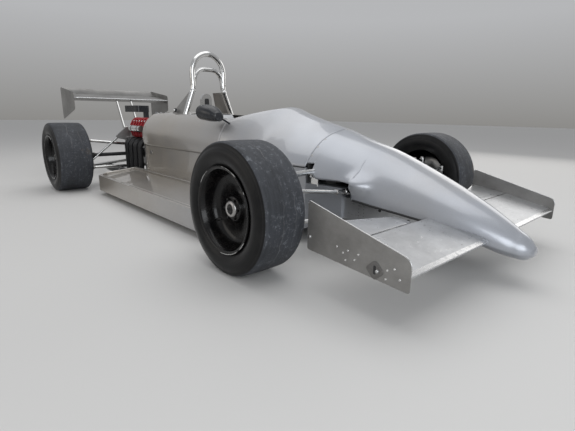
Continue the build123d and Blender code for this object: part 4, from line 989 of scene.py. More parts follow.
def tyre_profile(half, radius):
    """Bead to bead: a bulged side wall, a tight round shoulder, and a tread with a slight crown."""
    wall = np.linspace(0, 1, 18)
    low, high = flange_radius + 0.002, radius - shoulder
    wall_r = low + (high - low) * wall
    wall_y = half - 0.010 + 0.058 * wall * (1 - wall) + 0.004 * wall**2
    turn = np.linspace(0, np.pi / 2, 10)[1:]
    round_y = half - 0.006 - shoulder * (1 - np.cos(turn))
    round_r = high + (shoulder - tread_crown) * np.sin(turn)
    tread_y = np.linspace(round_y[-1], 0, 14)[1:]
    tread_r = radius - tread_crown * (tread_y / round_y[-1]) ** 2
    outer = np.stack((
        np.concatenate((wall_y, round_y, tread_y)), np.concatenate((wall_r, round_r, tread_r))), axis=1)
    inner = outer[-2::-1] * (-1, 1)
    lip = np.array(((half - 0.020, flange_radius - 0.010), (half - 0.014, flange_radius - 0.005)))
    return np.concatenate((lip, outer, inner, lip[::-1] * (-1, 1)))


corners_of_car = [(end, hand, side) for end in ("front", "rear") for hand, side in hands]
for end, hand, side in corners_of_car:
    node = f"{end}_tyre_{hand}"
    centre, half, radius = box_middle(node)
    mesh = lathe(f"{end}_slick_{hand}", tyre_profile(half, radius), centre, 144, side)
    fit(mesh, f"{end}_wheel_{hand}", tread_rubber, "tyre_rubber", node)
    mesh.materials.append(wall_rubber)
    centres = np.empty(len(mesh.polygons) * 3)
    mesh.polygons.foreach_get("center", centres)
    centres = centres.reshape(-1, 3) - centre
    on_wall = np.hypot(centres[:, 0], centres[:, 2]) < radius - 0.0075
    mesh.polygons.foreach_set("material_index", on_wall.astype(np.int32))


# Wheels
# Cast alloy wheels painted black, with a deep outer dish, bright patches on the edge as painted highlights,
# one large centre nut and six drive pegs. A steel valve stands in the dish.
def black_enamel():
    """Black wheel enamel, semi gloss, with brake dust in the dish."""
    material, shader = shader_material("black_enamel", (0.012, 0.012, 0.013), 0.0, 0.3)
    shader.inputs["Specular IOR Level"].default_value = 0.25
    tree = material.node_tree
    dust = ramp_node(tree, noise_node(tree, 25, 5.0, 0.65), 0.35, 0.8)
    base = mix_node(tree, (0.003, 0.003, 0.0035), (0.010, 0.0085, 0.008), dust)
    tree.links.new(base, shader.inputs["Base Color"])
    tree.links.new(ramp_node(tree, dust, 0, 1, 0.16, 0.42), shader.inputs["Roughness"])
    shader.inputs["Coat Weight"].default_value = 0.12
    return material


def edge_highlight_enamel():
    """Black enamel with patches of bright metal, painted highlights where the glossy edge catches the
    light.
    """
    material, shader = shader_material("edge_highlight_patches", (0.3, 0.3, 0.3), 0.85, 0.3)
    tree = material.node_tree
    # Painted highlight: bright metal patches on the black edge stand in for glints on the glossy lip.
    highlight_patches = ramp_node(tree, noise_node(tree, 9, 3.0, 0.5), 0.54, 0.60)
    base = mix_node(tree, (0.012, 0.012, 0.013), (0.60, 0.60, 0.59), highlight_patches)
    tree.links.new(base, shader.inputs["Base Color"])
    return material


enamel = black_enamel()
chrome = metal_finish("chrome", (0.66, 0.66, 0.655), 0.15)
edge_highlight_patches = edge_highlight_enamel()
# Columns: offset outward along the axle, radius. The first two start at the bead and the other two at
# the centre's face.
rim_table = np.array((
    (-0.001, 0.1760), (0.001, 0.1800), (0.004, 0.1812), (0.007, 0.1800), (0.008, 0.1760),
    (0.006, 0.1700), (0.000, 0.1655), (-0.012, 0.1630), (-0.030, 0.1600), (-0.044, 0.1560),
    (-0.060, 0.1530), (-0.070, 0.1440), (-0.076, 0.1300), (-0.080, 0.1000), (-0.076, 0.0700),
    (-0.066, 0.0580), (-0.050, 0.0540), (-0.046, 0.0500), (-0.046, 0.0300), (-0.046, 0.0002)))
edge_table = np.array((
    (0.0060, 0.1806), (0.0076, 0.1804), (0.0082, 0.1788), (0.0074, 0.1772), (0.0058, 0.1768)))
nut_table = np.array((
    (-0.001, 0.0370), (0.005, 0.0370), (0.009, 0.0350), (0.013, 0.0300), (0.014, 0.0250),
    (0.012, 0.0205), (0.006, 0.0195)))
spindle_table = np.array((
    (0.005, 0.0195), (0.012, 0.0190), (0.014, 0.0170), (0.014, 0.0060), (0.010, 0.0050),
    (0.010, 0.0001)))


def barrel_profile(half):
    """The well of the rim behind the dish, and the inner flange."""
    return np.array((
        (half - 0.042, 0.1500), (half - 0.10, 0.1560), (-half + 0.03, 0.1560), (-half + 0.012, 0.1640),
        (-half + 0.002, 0.1700), (-half + 0.001, 0.1790), (-half + 0.004, 0.1800), (-half + 0.009, 0.1760)))


peg_head = ((0.0, 1.0), (0.8, 1.0), (1.0, 0.75), (1.0, 0.0))
rim_overlap, bead_depth, face_depth, peg_circle = 0.002, 0.008, 0.054, 0.044
sixths = np.linspace(0, 2 * np.pi, 6, endpoint=False)
for end, hand, side in corners_of_car:
    node, body = f"{end}_rim_{hand}", f"{end}_wheel_{hand}"
    centre, half, _ = box_middle(node)
    half += rim_overlap
    bead, face = (half - bead_depth, 0), (half - face_depth, 0)
    mesh = lathe(f"{end}_wheel_face_{hand}", rim_table + bead, centre, 96, side)
    fit(mesh, body, enamel, "wheel_black", node)
    mesh = lathe(f"{end}_wheel_barrel_{hand}", barrel_profile(half), centre, 96, -side)
    fit(mesh, body, enamel, "wheel_black")
    for label, profile, segments, material, slot in (
            ("wheel_edge", edge_table + bead, 96, edge_highlight_patches, "polished_steel"),
            ("nut", nut_table + face, 48, steel, "polished_steel"),
            ("spindle", spindle_table + face, 36, enamel, "wheel_black")):
        fit(lathe(f"{end}_{label}_{hand}", profile, centre, segments, side), body, material, slot)
    places = places_at(
        centre[0] + peg_circle * np.cos(sixths), centre[1] + side * face[0],
        centre[2] + peg_circle * np.sin(sixths))
    mesh = studs(f"{end}_pegs_{hand}", places, (0, side, 0), 0.0055, 0.010, 12, peg_head)
    fit(mesh, body, enamel, "wheel_black")
    valve_path = (
        (centre[0] - 0.128, centre[1] + side * (half - 0.082), centre[2] - 0.072),
        (centre[0] - 0.125, centre[1] + side * (half - 0.066), centre[2] - 0.070),
        (centre[0] - 0.122, centre[1] + side * (half - 0.052), centre[2] - 0.068))
    mesh = rod(f"{end}_valve_{hand}", valve_path, (0.0058, 0.0058, 0.0040), 10)
    fit(mesh, body, steel, "polished_steel")

# Front suspension
# Plated rocker arms above and tubular wishbones below, each ending in a spherical joint with a locknut.
# The coil springs lie inside the nose, beside the pedal box and in front of a black bulkhead.
half_circle = np.linspace(0, np.pi, 10)
ball_outline = tuple(zip(-np.cos(half_circle), np.sin(half_circle)))
hexagon_outline = ((0.0, 0.0), (0.0, 0.9), (0.12, 1.0), (0.88, 1.0), (1.0, 0.9), (1.0, 0.0))


def coil(name, start, end, coil_radius, wire, turns, steps=20):
    """A wire along a helix between two places."""
    start, end = np.asarray(start, float), np.asarray(end, float)
    along = (end - start) / np.linalg.norm(end - start)
    first = np.cross((0.0, 0.0, 1.0) if abs(along[2]) < 0.9 else (1.0, 0.0, 0.0), along)
    first /= np.linalg.norm(first)
    second = np.cross(along, first)
    turn = np.linspace(0, 2 * np.pi * turns, int(turns * steps))[:, None]
    path = start + (end - start) * np.linspace(0, 1, len(turn))[:, None] + coil_radius * (
        np.cos(turn) * first + np.sin(turn) * second)
    return rod(name, path, wire, 8, along)


def bar(name, start, end, radius, sides=20):
    """A straight bar whose radius may change at evenly spaced places."""
    radius = np.atleast_1d(np.asarray(radius, float))
    share = np.linspace(0, 1, max(len(radius), 2))[:, None]
    path = np.asarray(start, float) * (1 - share) + np.asarray(end, float) * share
    run = path[-1] - path[0]
    steep = abs(run[2]) >= 0.8 * np.linalg.norm(run)
    return rod(name, path, radius, sides, (1.0, 0.0, 0.0) if steep else (0.0, 0.0, 1.0))


front_axle_x, kingpin_y, locknut_y = 1.370, 0.675, 0.592
bulkhead_floor_z, rocker_x = 0.322, 1.318
bulkhead = rounded_outline((
    (-0.298, bulkhead_floor_z), (0.298, bulkhead_floor_z), (0.291, 0.412), (0.222, 0.470),
    (-0.222, 0.470), (-0.291, 0.412)), 0.006)
pedal_box = rounded_outline((
    (1.297, bulkhead_floor_z), (1.475, bulkhead_floor_z), (1.475, 0.395), (1.297, 0.450)), 0.01)
# Painted shade: the black panels beside the arms, where there is no wall, stand in for the shade inside the
# nose.
shade_panel = rounded_outline((
    (1.250, bulkhead_floor_z), (1.345, bulkhead_floor_z), (1.345, 0.405), (1.250, 0.405)), 0.008)
for hand, side in hands:
    joints = places_at(front_axle_x, side * kingpin_y, (0.3945, 0.1595))
    mesh = studs(f"front_joint_balls_{hand}", joints, (0, 0, 1), 0.0150, 0.0150, 18, ball_outline)
    fit(mesh, "chassis", steel, "polished_steel")
    nut_places = (
        (front_axle_x - 0.009, side * locknut_y, 0.387), (front_axle_x - 0.023, side * locknut_y, 0.160),
        (front_axle_x + 0.016, side * locknut_y, 0.160))
    nut_ways = ((0.1, side, 0.02), (0.3, side, 0.0), (-0.2, side, 0.0))
    mesh = studs(f"front_locknuts_{hand}", nut_places, nut_ways, 0.0185, 0.012, 6, hexagon_outline)
    fit(mesh, "chassis", steel, "polished_steel")
    nut_places, nut_ways = ((1.5218, side * 0.330, 0.3140),), ((0.05, side, 0.1),)
    mesh = studs(f"tie_rod_nut_{hand}", nut_places, nut_ways, 0.0135, 0.012, 6, hexagon_outline)
    fit(mesh, f"tie_rod_{hand}", steel, "polished_steel")
    start, end = (1.392, side * 0.150, 0.335), (1.310, side * 0.236, 0.385)
    mesh = coil(f"front_spring_{hand}", start, end, 0.022, 0.0042, 6)
    fit(mesh, "chassis", steel, "polished_steel")
    start, end = (1.400, side * 0.142, 0.330), (1.302, side * 0.244, 0.390)
    mesh = bar(f"front_damper_{hand}", start, end, (0.011, 0.015, 0.015, 0.009))
    fit(mesh, "chassis", matt_black, "black_trim")
# The bulkhead is widened out to the nose's sides, so that its black also stands in for the shade inside the
# nose.
fit(plate("front_bulkhead", bulkhead, 0, 1.2925, 1.2955), "chassis", matt_black, "black_trim")
fit(plate("pedal_box", pedal_box, 1, -0.125, 0.125, 0.004), "chassis", matt_black, "black_trim")
for hand, side in hands:
    mesh = plate(f"arm_bracket_wall_{hand}", shade_panel, 1, side * 0.212, side * 0.215)
    fit(mesh, "chassis", matt_black, "black_trim")
    start, end = (rocker_x, side * 0.250, 0.417), (rocker_x, side * 0.296, 0.352)
    mesh = bar(f"front_rocker_{hand}", start, end, (0.008, 0.012, 0.008, 0.007))
    fit(mesh, "chassis", chrome, "polished_steel")

# Brakes
# Cast iron discs behind the wheel centres, each on an alloy hub, and turned with the wheel.
iron = metal_finish("brake_iron", (0.30, 0.295, 0.29), 0.34, 0.6, (1.0, 0.2, 1.0))
cast_alloy = plain_finish("cast_alloy", (0.33, 0.33, 0.325), 0.85, 0.42, 0.62, 40, 0.5, 0.002)
disc_in, disc_out, hub_inner_y = 0.1045, 0.0925, 0.663
for end, hand, side in corners_of_car:
    centre, half, _ = box_middle(f"{end}_rim_{hand}")
    half += rim_overlap
    near, far = half - disc_in, half - disc_out
    disc = (
        (near, 0.062), (near, 0.1205), (near + 0.001, 0.1215), (far - 0.001, 0.1215), (far, 0.1205),
        (far, 0.062))
    mesh = lathe(f"{end}_brake_disc_{hand}", disc, centre, 72, side)
    fit(mesh, f"{end}_wheel_{hand}", iron, "burnt_steel")
    hub_in = hub_inner_y - abs(centre[1])
    hub = (
        (hub_in, 0.0005), (hub_in, 0.0235), (near - 0.02, 0.0237), (near - 0.012, 0.040),
        (near - 0.002, 0.058), (near - 0.001, 0.064), (far + 0.003, 0.064), (far + 0.003, 0.050))
    mesh = lathe(f"{end}_hub_{hand}", hub, centre, 48, side)
    fit(mesh, f"{end}_wheel_{hand}", cast_alloy, "cast_alloy")

# Roll hoops
# Two plated steel hoops on shared legs, sleeved where they meet, with a sheet plate behind each leg,
# a pump fitting on the right plate and a black pad on the headrest.
hoop_low, hoop_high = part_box("roll_hoops")
hoop_x = (hoop_low.x + hoop_high.x) / 2
joint_y, joint_z, foot_y, foot_z = 0.131, 0.833, 0.207, 0.637
for hand, side in hands:
    joint, foot = np.array((hoop_x, side * joint_y, joint_z)), np.array((hoop_x, side * foot_y, foot_z))
    down = (foot - joint) / np.linalg.norm(foot - joint)
    start, end = joint + down * 0.004, joint + down * 0.034
    mesh = bar(f"hoop_sleeve_{hand}", start, end, (0.0206, 0.0222, 0.0222, 0.0206), 28)
    fit(mesh, "chassis", chrome, "polished_steel")
    start, end = foot + down * 0.004, foot + down * 0.016
    mesh = bar(f"hoop_foot_ring_{hand}", start, end, (0.0215, 0.0265, 0.0265), 28)
    fit(mesh, "chassis", polished, "polished_steel")
fitting_way, base_head = (0, -1, 0.25), ((0.0, 1.0), (0.75, 1.0), (1.0, 0.85), (1.0, 0.0))
base_place, cap_place = ((-0.232, -0.2075, 0.672),), ((-0.232, -0.222, 0.672),)
mesh = studs("fitting_base", base_place, fitting_way, 0.0145, 0.014, 20, base_head)
fit(mesh, "chassis", matt_black, "black_trim")
mesh = studs("fitting_cap", cap_place, fitting_way, 0.0085, 0.010, 16)
fit(mesh, "chassis", polished, "polished_steel")
pad = rounded_outline(((-0.016, 0.690), (0.016, 0.690), (0.016, 0.764), (-0.016, 0.764)), 0.012)
fit(plate("headrest_pad", pad, 0, -0.1235, -0.1135, 0.003), "chassis", matt_black, "black_trim")

# Mirrors
# Black moulded teardrops, blunt at the back where the glass sits, on a slim stalk to the cowl.
black_moulding = plain_finish("black_moulding", (0.016, 0.018, 0.022), 0.0, 0.20, 0.36)
mirror_glass = shader_material("mirror_glass", (0.72, 0.74, 0.75), 1.0, 0.03)[0]
mirror_x = cowl_rear_x - 0.057
# Columns: x from the mirror's middle, half width, half height, y and z of the centre
mirror_table = np.array((
    (-0.068, 0.0520, 0.0370, 0.364, 0.660), (-0.064, 0.0585, 0.0435, 0.364, 0.660),
    (-0.050, 0.0600, 0.0460, 0.364, 0.660), (0.000, 0.0590, 0.0475, 0.361, 0.655),
    (0.045, 0.0500, 0.0410, 0.357, 0.647), (0.075, 0.0330, 0.0270, 0.353, 0.638),
    (0.088, 0.0150, 0.0130, 0.350, 0.634), (0.090, 0.0004, 0.0004, 0.350, 0.634)))
mirror_length = mirror_table[-1, 0] - mirror_table[0, 0]
station = mirror_table[0, 0] + mirror_length * (1 - np.cos(np.pi * np.linspace(0, 1, 50))) / 2
mirror_rows = through(station, mirror_table[:, 0], mirror_table[:, 1:])
mirror_rows[:, :2] = np.maximum(mirror_rows[:, :2], 0.0003)
turn = np.linspace(0, 2 * np.pi, 48, endpoint=False)[None, :]
round_y = np.sign(np.cos(turn)) * np.abs(np.cos(turn)) ** 0.9
round_z = np.sign(np.sin(turn)) * np.abs(np.sin(turn)) ** 0.9
# Pairs: share of the back's outline, depth inside it
recess_steps = ((0.01, 0.006), (0.90, 0.006), (0.93, 0.0))
glass_steps = ((0.01, 0.0045), (0.60, 0.0045), (0.905, 0.0045))
for hand, side in hands:
    y = side * mirror_rows[:, 2:3] + mirror_rows[:, 0:1] * round_y
    z = mirror_rows[:, 3:4] + mirror_rows[:, 1:2] * round_z
    grid = places_at(mirror_x + station[:, None], y, z)
    middle = grid[:1].mean(axis=1, keepdims=True)
    back = grid[:1] - middle
    recess = [middle + back * share + (depth, 0, 0) for share, depth in recess_steps]
    glass = [middle + back * share + (depth, 0, 0) for share, depth in glass_steps]
    mesh = skin(f"mirror_shell_{hand}", np.concatenate(recess + [grid], axis=0), wrap=True)
    fit(mesh, "chassis", black_moulding, "black_gloss", "mirrors")
    mesh = skin(f"mirror_glass_{hand}", np.concatenate(glass, axis=0), wrap=True)
    fit(mesh, "chassis", mirror_glass, "polished_steel")
    start, end = (mirror_x + 0.070, side * 0.3515, 0.638), (cowl_rear_x + 0.033, side * 0.264, 0.5865)
    mesh = bar(f"mirror_stalk_{hand}", start, end, (0.0075, 0.0055, 0.0055, 0.0060))
    fit(mesh, "chassis", black_moulding, "black_gloss")

# Cockpit
# A plain black dash with three round dials, a wheel with a bolted boss, and webbing belts over the
# moulded seat.
dash_face_x = 0.8252
# Columns: y, z, radius
dial_table = ((0.0, 0.585, 0.036), (-0.078, 0.572, 0.026), (0.078, 0.572, 0.026))
dial_face = plain_finish("dial_face", (0.03, 0.03, 0.032), 0.0, 0.3, 0.4)
dial_mark = shader_material("dial_mark", (0.62, 0.62, 0.60), 0.0, 0.5)[0]
dial_rim = ((0.0, 1.0), (0.8, 1.0), (1.0, 0.94), (1.0, 0.88), (0.7, 0.84), (0.7, 0.0))
marks_x, hand_x = dash_face_x - 0.0085, dash_face_x - 0.0095
mark_turn = np.radians(np.linspace(-135, 135, 11))
for number, (y, z, radius) in enumerate(dial_table, 1):
    mesh = studs(
        f"dial_rim_{number}", ((dash_face_x, y, z),), (-1, 0, 0), radius, 0.012, 40, dial_rim)
    fit(mesh, "chassis", dial_face, "black_trim")
    places = places_at(
        marks_x, y + 0.72 * radius * np.sin(mark_turn), z + 0.72 * radius * np.cos(mark_turn))
    mesh = studs(f"dial_marks_{number}", places, (-1, 0, 0), 0.0014, 0.0006, 8)
    fit(mesh, "chassis", dial_mark, "polished_steel")
    hand_path = (
        (hand_x, y - 0.10 * radius, z - 0.12 * radius), (hand_x, y + 0.48 * radius, z + 0.42 * radius))
    mesh = rod(f"dial_hand_{number}", hand_path, (0.0016, 0.0005), 6, (1.0, 0.0, 0.0))
    fit(mesh, "chassis", dial_mark, "polished_steel")
wheel_centre = np.array((0.610, 0, 0.535))
column_tilt = np.radians(17)
column_dir = np.array((-np.cos(column_tilt), 0, np.sin(column_tilt)))
column_up = np.array((np.sin(column_tilt), 0, np.cos(column_tilt)))
bolt_circle = 0.024 * (
    np.cos(sixths)[:, None] * np.array((0, 1, 0)) + np.sin(sixths)[:, None] * column_up)
boss_bolts = wheel_centre + column_dir * 0.003 + bolt_circle
mesh = studs("wheel_boss_bolts", boss_bolts, column_dir, 0.0038, 0.004, 10)
fit(mesh, "steering_wheel", polished, "polished_steel")


def strap(name, path, width, thickness, across=(0.0, 1.0, 0.0)):
    """Flat webbing along a path: a flat outline square to the path's gradient, closed at its start."""
    path = np.asarray(path, float)
    line = through(np.linspace(0, 1, 6 * len(path)), np.linspace(0, 1, len(path)), path)
    along = np.gradient(line, axis=0)
    along /= np.linalg.norm(along, axis=1, keepdims=True)
    side_way = np.cross(np.cross(along, across), along)
    side_way /= np.linalg.norm(side_way, axis=1, keepdims=True)
    face_way = np.cross(side_way, along)
    outline = np.array((
        (-0.5, -0.5), (-0.25, -0.5), (0.25, -0.5), (0.5, -0.5), (0.5, 0.5), (0.25, 0.5), (-0.25, 0.5),
        (-0.5, 0.5)))
    across_part = width * outline[None, :, :1] * side_way[:, None]
    grid = line[:, None] + across_part + thickness * outline[None, :, 1:] * face_way[:, None]
    start = np.repeat(line[:1, None], len(outline), axis=1)
    return skin(name, np.concatenate((start, grid), axis=0), wrap=True, flip=True)


webbing = plain_finish("webbing", (0.045, 0.046, 0.050), 0.0, 0.75, 0.9, 60, 0.5, 0.0006)
belt_thickness = 0.0025
for hand, side in hands:
    shoulder_path = (
        (-0.030, side * 0.085, 0.585), (-0.020, side * 0.083, 0.520), (0.035, side * 0.075, 0.330),
        (0.085, side * 0.060, 0.185), (0.150, side * 0.040, 0.135), (0.225, side * 0.018, 0.128))
    mesh = strap(f"shoulder_belt_{hand}", shoulder_path, 0.045, belt_thickness)
    fit(mesh, "chassis", webbing, "black_trim")
    lap_path = (
        (0.130, side * 0.186, 0.170), (0.165, side * 0.150, 0.150), (0.205, side * 0.080, 0.132),
        (0.235, side * 0.022, 0.128))
    mesh = strap(f"lap_belt_{hand}", lap_path, 0.040, belt_thickness, (0.4, 0.0, 1.0))
    fit(mesh, "chassis", webbing, "black_trim")
buckle_head = ((0.0, 1.0), (0.8, 1.0), (1.0, 0.88), (1.0, 0.45), (0.85, 0.38), (0.85, 0.0))
mesh = studs("belt_buckle", ((0.232, 0, 0.126),), (0.1, 0, 1), 0.028, 0.012, 24, buckle_head)
fit(mesh, "chassis", polished, "polished_steel")

# Engine
# A leaning twin cam engine: red crackle head cover with bolted ribs, bright induction stacks and rail,
# a cast block with webs, and four black pipes that curl down into one long silencer.
red_crackle = plain_finish("red_crackle", (0.30, 0.010, 0.016), 0.1, 0.30, 0.5, 90, 0.9, 0.002)
black_pipe = plain_finish("black_pipe", (0.026, 0.026, 0.028), 0.3, 0.38, 0.62, 25, 0.4, 0.001)
block_low, block_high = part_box("engine_block")
engine_front_x, engine_rear_x, engine_side_y = block_high.x, block_low.x, block_high.y
flange_z, rail_y, rail_z = 0.418, -0.108, 0.592
cylinder_x = engine_front_x - 0.090 - 0.095 * np.arange(4)
stack_radii = (0.022, 0.022, 0.023, 0.026, 0.033, 0.034)
for number, x in enumerate(cylinder_x, 1):
    start, end = (x, -engine_side_y - 0.0005, flange_z), (x, -engine_side_y - 0.011, flange_z)
    mesh = bar(f"exhaust_flange_{number}", start, end, (0.034, 0.034, 0.033, 0.023), 6)
    fit(mesh, "chassis", steel, "burnt_steel")
    start, end = (x, -0.075, 0.556), (x, -0.020, 0.638)
    mesh = bar(f"induction_stack_{number}", start, end, stack_radii, 28)
    fit(mesh, "chassis", polished, "polished_steel")
    # Painted shade: a black disc over each stack's mouth stands in for the dark inside of the open stack.
    start, end = (x, -0.0196, 0.6385), (x, -0.0190, 0.6394)
    fit(bar(f"stack_mouth_{number}", start, end, 0.029, 28), "chassis", matt_black, "black_trim")
start, end = (engine_front_x - 0.05, rail_y, rail_z), (engine_rear_x + 0.03, rail_y, rail_z)
fit(bar("fuel_rail", start, end, 0.009), "chassis", chrome, "polished_steel")
rib_x = np.linspace(engine_front_x - 0.055, engine_rear_x + 0.055, 7)
for number, x in enumerate(rib_x, 1):
    rib_path = ((x, -0.272, 0.448), (x, -0.2895, 0.528), (x, -0.2415, 0.599), (x, -0.112, 0.572))
    rib_path = through(np.linspace(0, 1, 24), (0, 0.33, 0.62, 1.0), rib_path)
    mesh = rod(f"cover_rib_{number}", rib_path, 0.0065, 8, (1.0, 0.0, 0.0))
    fit(mesh, "chassis", red_crackle, "red_paint")
cover_bolt_x = (rib_x[:-1] + rib_x[1:]) / 2
cover_bolts = np.concatenate([
    places_at(cover_bolt_x, y, z) for y, z in ((-0.2895, 0.505), (-0.262, 0.577), (-0.150, 0.586))])
cover_bolt_ways = np.repeat(((-0.2, -1, 0.1), (0, -0.8, 0.6), (0, 0.2, 1.0)), 6, axis=0)
mesh = studs("cover_bolts", cover_bolts, cover_bolt_ways, 0.0065, 0.006, 6, bolt_head)
fit(mesh, "chassis", polished, "polished_steel")
canister_low, canister_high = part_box("oil_cylinder")
canister_y, canister_z = canister_low.y + 0.026, (canister_low.z + canister_high.z) / 2
for number, x in enumerate((engine_front_x - 0.120, engine_front_x - 0.240), 1):
    start, end = (x - 0.009, canister_y, canister_z), (x + 0.009, canister_y, canister_z)
    mesh = bar(f"canister_band_{number}", start, end, (0.0255, 0.0276, 0.0276, 0.0255), 28)
    fit(mesh, "chassis", matt_black, "black_trim")
web_x = np.linspace(engine_front_x - 0.03, engine_rear_x + 0.03, 6)
pan_x, pan_z = np.linspace(engine_front_x - 0.02, engine_rear_x + 0.02, 12), 0.120
for hand, side in hands:
    web = rounded_outline((
        (side * 0.1500, 0.110), (side * 0.1575, 0.125), (side * 0.1575, 0.365), (side * 0.1500, 0.385)),
        0.002, 3)
    for number, x in enumerate(web_x, 1):
        mesh = plate(f"block_web_{hand}_{number}", web, 0, x - 0.004, x + 0.004)
        fit(mesh, "chassis", cast_alloy, "cast_alloy")
    places = places_at(pan_x, side * engine_side_y, pan_z)
    mesh = studs(f"block_bolts_{hand}", places, (0, side, 0), 0.0055, 0.005, 6, bolt_head)
    fit(mesh, "chassis", steel, "polished_steel")
silencer_y, silencer_band_x = -0.312, (-0.725, -1.075, -1.18, -1.50)
for number, x in enumerate(silencer_band_x, 1):
    silencer_z = np.interp(x, (-1.540, -0.673), (0.112, 0.104))
    start, end = (x - 0.008, silencer_y, silencer_z), (x + 0.008, silencer_y, silencer_z)
    mesh = bar(f"silencer_band_{number}", start, end, (0.0345, 0.0362, 0.0362, 0.0345), 32)
    fit(mesh, "chassis", steel, "burnt_steel")

# Gearbox
# A cast case in three parts, bolted together at flanges.
flange_half, bolt_inset = 0.007, 0.965
# Columns: x, half width, bottom z, top z
flange_table = (
    (-1.050, 0.1085, 0.147, 0.423), (-1.330, 0.1085, 0.157, 0.408), (-1.630, 0.092, 0.182, 0.404))
for number, (x, half_y, low_z, high_z) in enumerate(flange_table, 1):
    flange = rounded_outline(
        ((-half_y, low_z), (half_y, low_z), (half_y, high_z), (-half_y, high_z)), 0.030)
    mesh = plate(f"gearbox_flange_{number}", flange, 0, x - flange_half, x + flange_half, 0.002)
    fit(mesh, "chassis", cast_alloy, "cast_alloy")
    middle = flange.mean(axis=0)
    spots = middle + (flange[::3] - middle) * bolt_inset
    places = places_at(x - flange_half, spots[:, 0], spots[:, 1])
    mesh = studs(f"gearbox_bolts_{number}", places, (-1, 0, 0), 0.0055, 0.006, 6, bolt_head)
    fit(mesh, "chassis", steel, "polished_steel")

# Rear suspension
# Plated links with locknuts, rubber boots on the driveshafts, and coil springs that lie over the
# gearbox between the rockers and their mounts.
rear_axle_x, rear_hub_z, rear_rocker_x, rear_rocker_z = -1.090, 0.280, -1.056, 0.436
rear_nut_y, mount_inner_y, mount_outer_y = 0.600, 0.062, 0.160
damper_body = plain_finish("damper_body", (0.30, 0.30, 0.295), 0.8, 0.3, 0.45)
spring_paint = plain_finish("spring_paint", (0.05, 0.05, 0.055), 0.1, 0.35, 0.5)
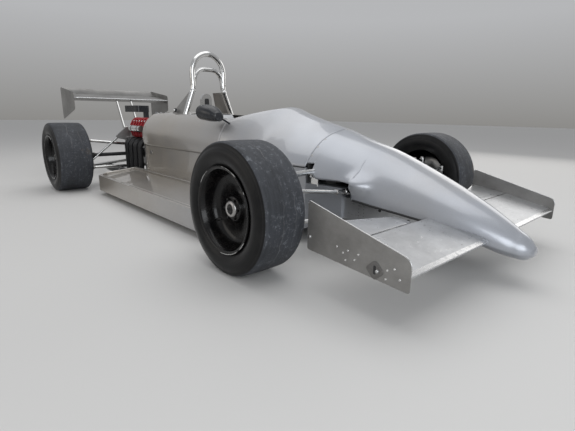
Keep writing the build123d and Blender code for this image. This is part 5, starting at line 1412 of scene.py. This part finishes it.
# Columns: offset outward from the car's middle, radius
inner_boot = (
    (0.118, 0.044), (0.124, 0.046), (0.130, 0.040), (0.137, 0.042), (0.143, 0.035), (0.150, 0.037),
    (0.156, 0.030), (0.163, 0.031), (0.170, 0.0225), (0.185, 0.0215), (0.186, 0.0165))
outer_boot = (
    (0.574, 0.0165), (0.575, 0.0215), (0.590, 0.0225), (0.597, 0.031), (0.604, 0.030), (0.611, 0.037),
    (0.618, 0.035), (0.625, 0.042), (0.632, 0.040), (0.640, 0.047), (0.6535, 0.047))
damper_radii = (0.011, 0.008, 0.008, 0.019, 0.021, 0.021, 0.021, 0.012)
for hand, side in hands:
    for label, boot in (("inner", inner_boot), ("outer", outer_boot)):
        mesh = lathe(f"{label}_boot_{hand}", boot, (rear_axle_x, 0, rear_hub_z), 40, side)
        fit(mesh, "chassis", matt_black, "black_trim")
    nut_places = (
        (rear_axle_x, side * rear_nut_y, 0.4055), (rear_axle_x + 0.048, side * rear_nut_y, 0.1785),
        (rear_axle_x - 0.066, side * rear_nut_y, 0.181))
    nut_ways = ((0, side, 0.12), (0, side, 0.02), (0.45, side, -0.02))
    mesh = studs(f"rear_locknuts_{hand}", nut_places, nut_ways, 0.0175, 0.012, 6, hexagon_outline)
    fit(mesh, "chassis", steel, "polished_steel")
    top = np.array((rear_rocker_x - 0.0095, side * 0.277, rear_rocker_z + 0.066))
    foot = np.array((rear_axle_x - 0.330, side * 0.150, 0.434))
    run = foot - top
    mesh = bar(f"rear_damper_{hand}", top, foot, damper_radii)
    fit(mesh, "chassis", damper_body, "cast_alloy", "rear_dampers")
    mesh = coil(f"rear_spring_{hand}", top + run * 0.13, top + run * 0.70, 0.028, 0.0052, 8)
    fit(mesh, "chassis", spring_paint, "black_gloss")
    for label, share in (("top", 0.11), ("low", 0.715)):
        start, end = top + run * (share - 0.012), top + run * (share + 0.012)
        mesh = bar(f"spring_seat_{label}_{hand}", start, end, (0.026, 0.0335, 0.0335, 0.026), 28)
        fit(mesh, "chassis", steel, "polished_steel")
    clevis = rounded_outline((
        (foot[0] - 0.017, 0.397), (foot[0] + 0.017, 0.397), (foot[0] + 0.017, 0.4555),
        (foot[0] - 0.017, 0.4555)), 0.006)
    mesh = plate(
        f"damper_mount_{hand}", clevis, 1, side * mount_inner_y, side * mount_outer_y, 0.002)
    fit(mesh, "chassis", cast_alloy, "cast_alloy")

# Rear wing
# A cambered aluminium plane and flap between two riveted end plates, with a polished leading edge.
wing_front_x, wing_front_z, wing_half, rear_plate_y = -1.800, 0.786, 0.498, 0.501
edge_y = np.linspace(-wing_half + 0.001, wing_half - 0.001, 24)
mesh = rod("rear_wing_edge", places_at(wing_front_x - 0.0058, edge_y, wing_front_z), 0.0056, 12)
fit(mesh, "chassis", polished, "bare_sheet")
chord_x, chord_z = -0.340, 0.050
share = np.linspace(0.06, 0.94, 8)
rear_rivets = np.concatenate((
    np.stack((wing_front_x + chord_x * share, wing_front_z + chord_z * share), axis=-1),
    np.stack((np.linspace(-2.155, -2.235, 3), np.linspace(0.845, 0.888, 3)), axis=-1)))
rear_plate_outline = rounded_outline(
    ((-1.803, 0.672), (-1.803, 0.838), (-2.260, 0.902), (-2.260, 0.566)), 0.032, 8)
for hand, side in hands:
    places = places_at(rear_rivets[:, 0], side * rear_plate_y, rear_rivets[:, 1])
    mesh = studs(f"rear_plate_rivets_{hand}", places, (0, side, 0), 0.0036, 0.0013)
    fit(mesh, "chassis", dark_rivet, "bare_sheet")
for hand, side in hands:
    mesh = plate(
        f"rear_end_plate_{hand}", rear_plate_outline, 1, side * wing_half, side * rear_plate_y, 0.0007)
    fit(mesh, "chassis", sheet_metal, "bare_sheet", "rear_end_plates")

# Plain pieces
# The pieces whose shape in the frame is already right get the finish of their slot. The deck between
# the hoops and the crash box are of the brighter sheet that the wings have.
finishes = {
    "body_paint": paint, "bare_sheet": sheet_metal, "polished_steel": chrome, "tyre_rubber": tread_rubber,
    "wheel_black": enamel, "black_gloss": black_moulding, "black_trim": matt_black,
    "cast_alloy": cast_alloy, "red_paint": red_crackle, "burnt_steel": black_pipe}
for part in frame["record"]["subparts"]:
    carried = nodes[part["node"]]
    carried.data.materials.clear()
    carried.data.materials.append(finishes[part["material_slot"]])
for node in ("hoop_deck", "crash_box"):
    nodes[node].data.materials[0] = wing_skin
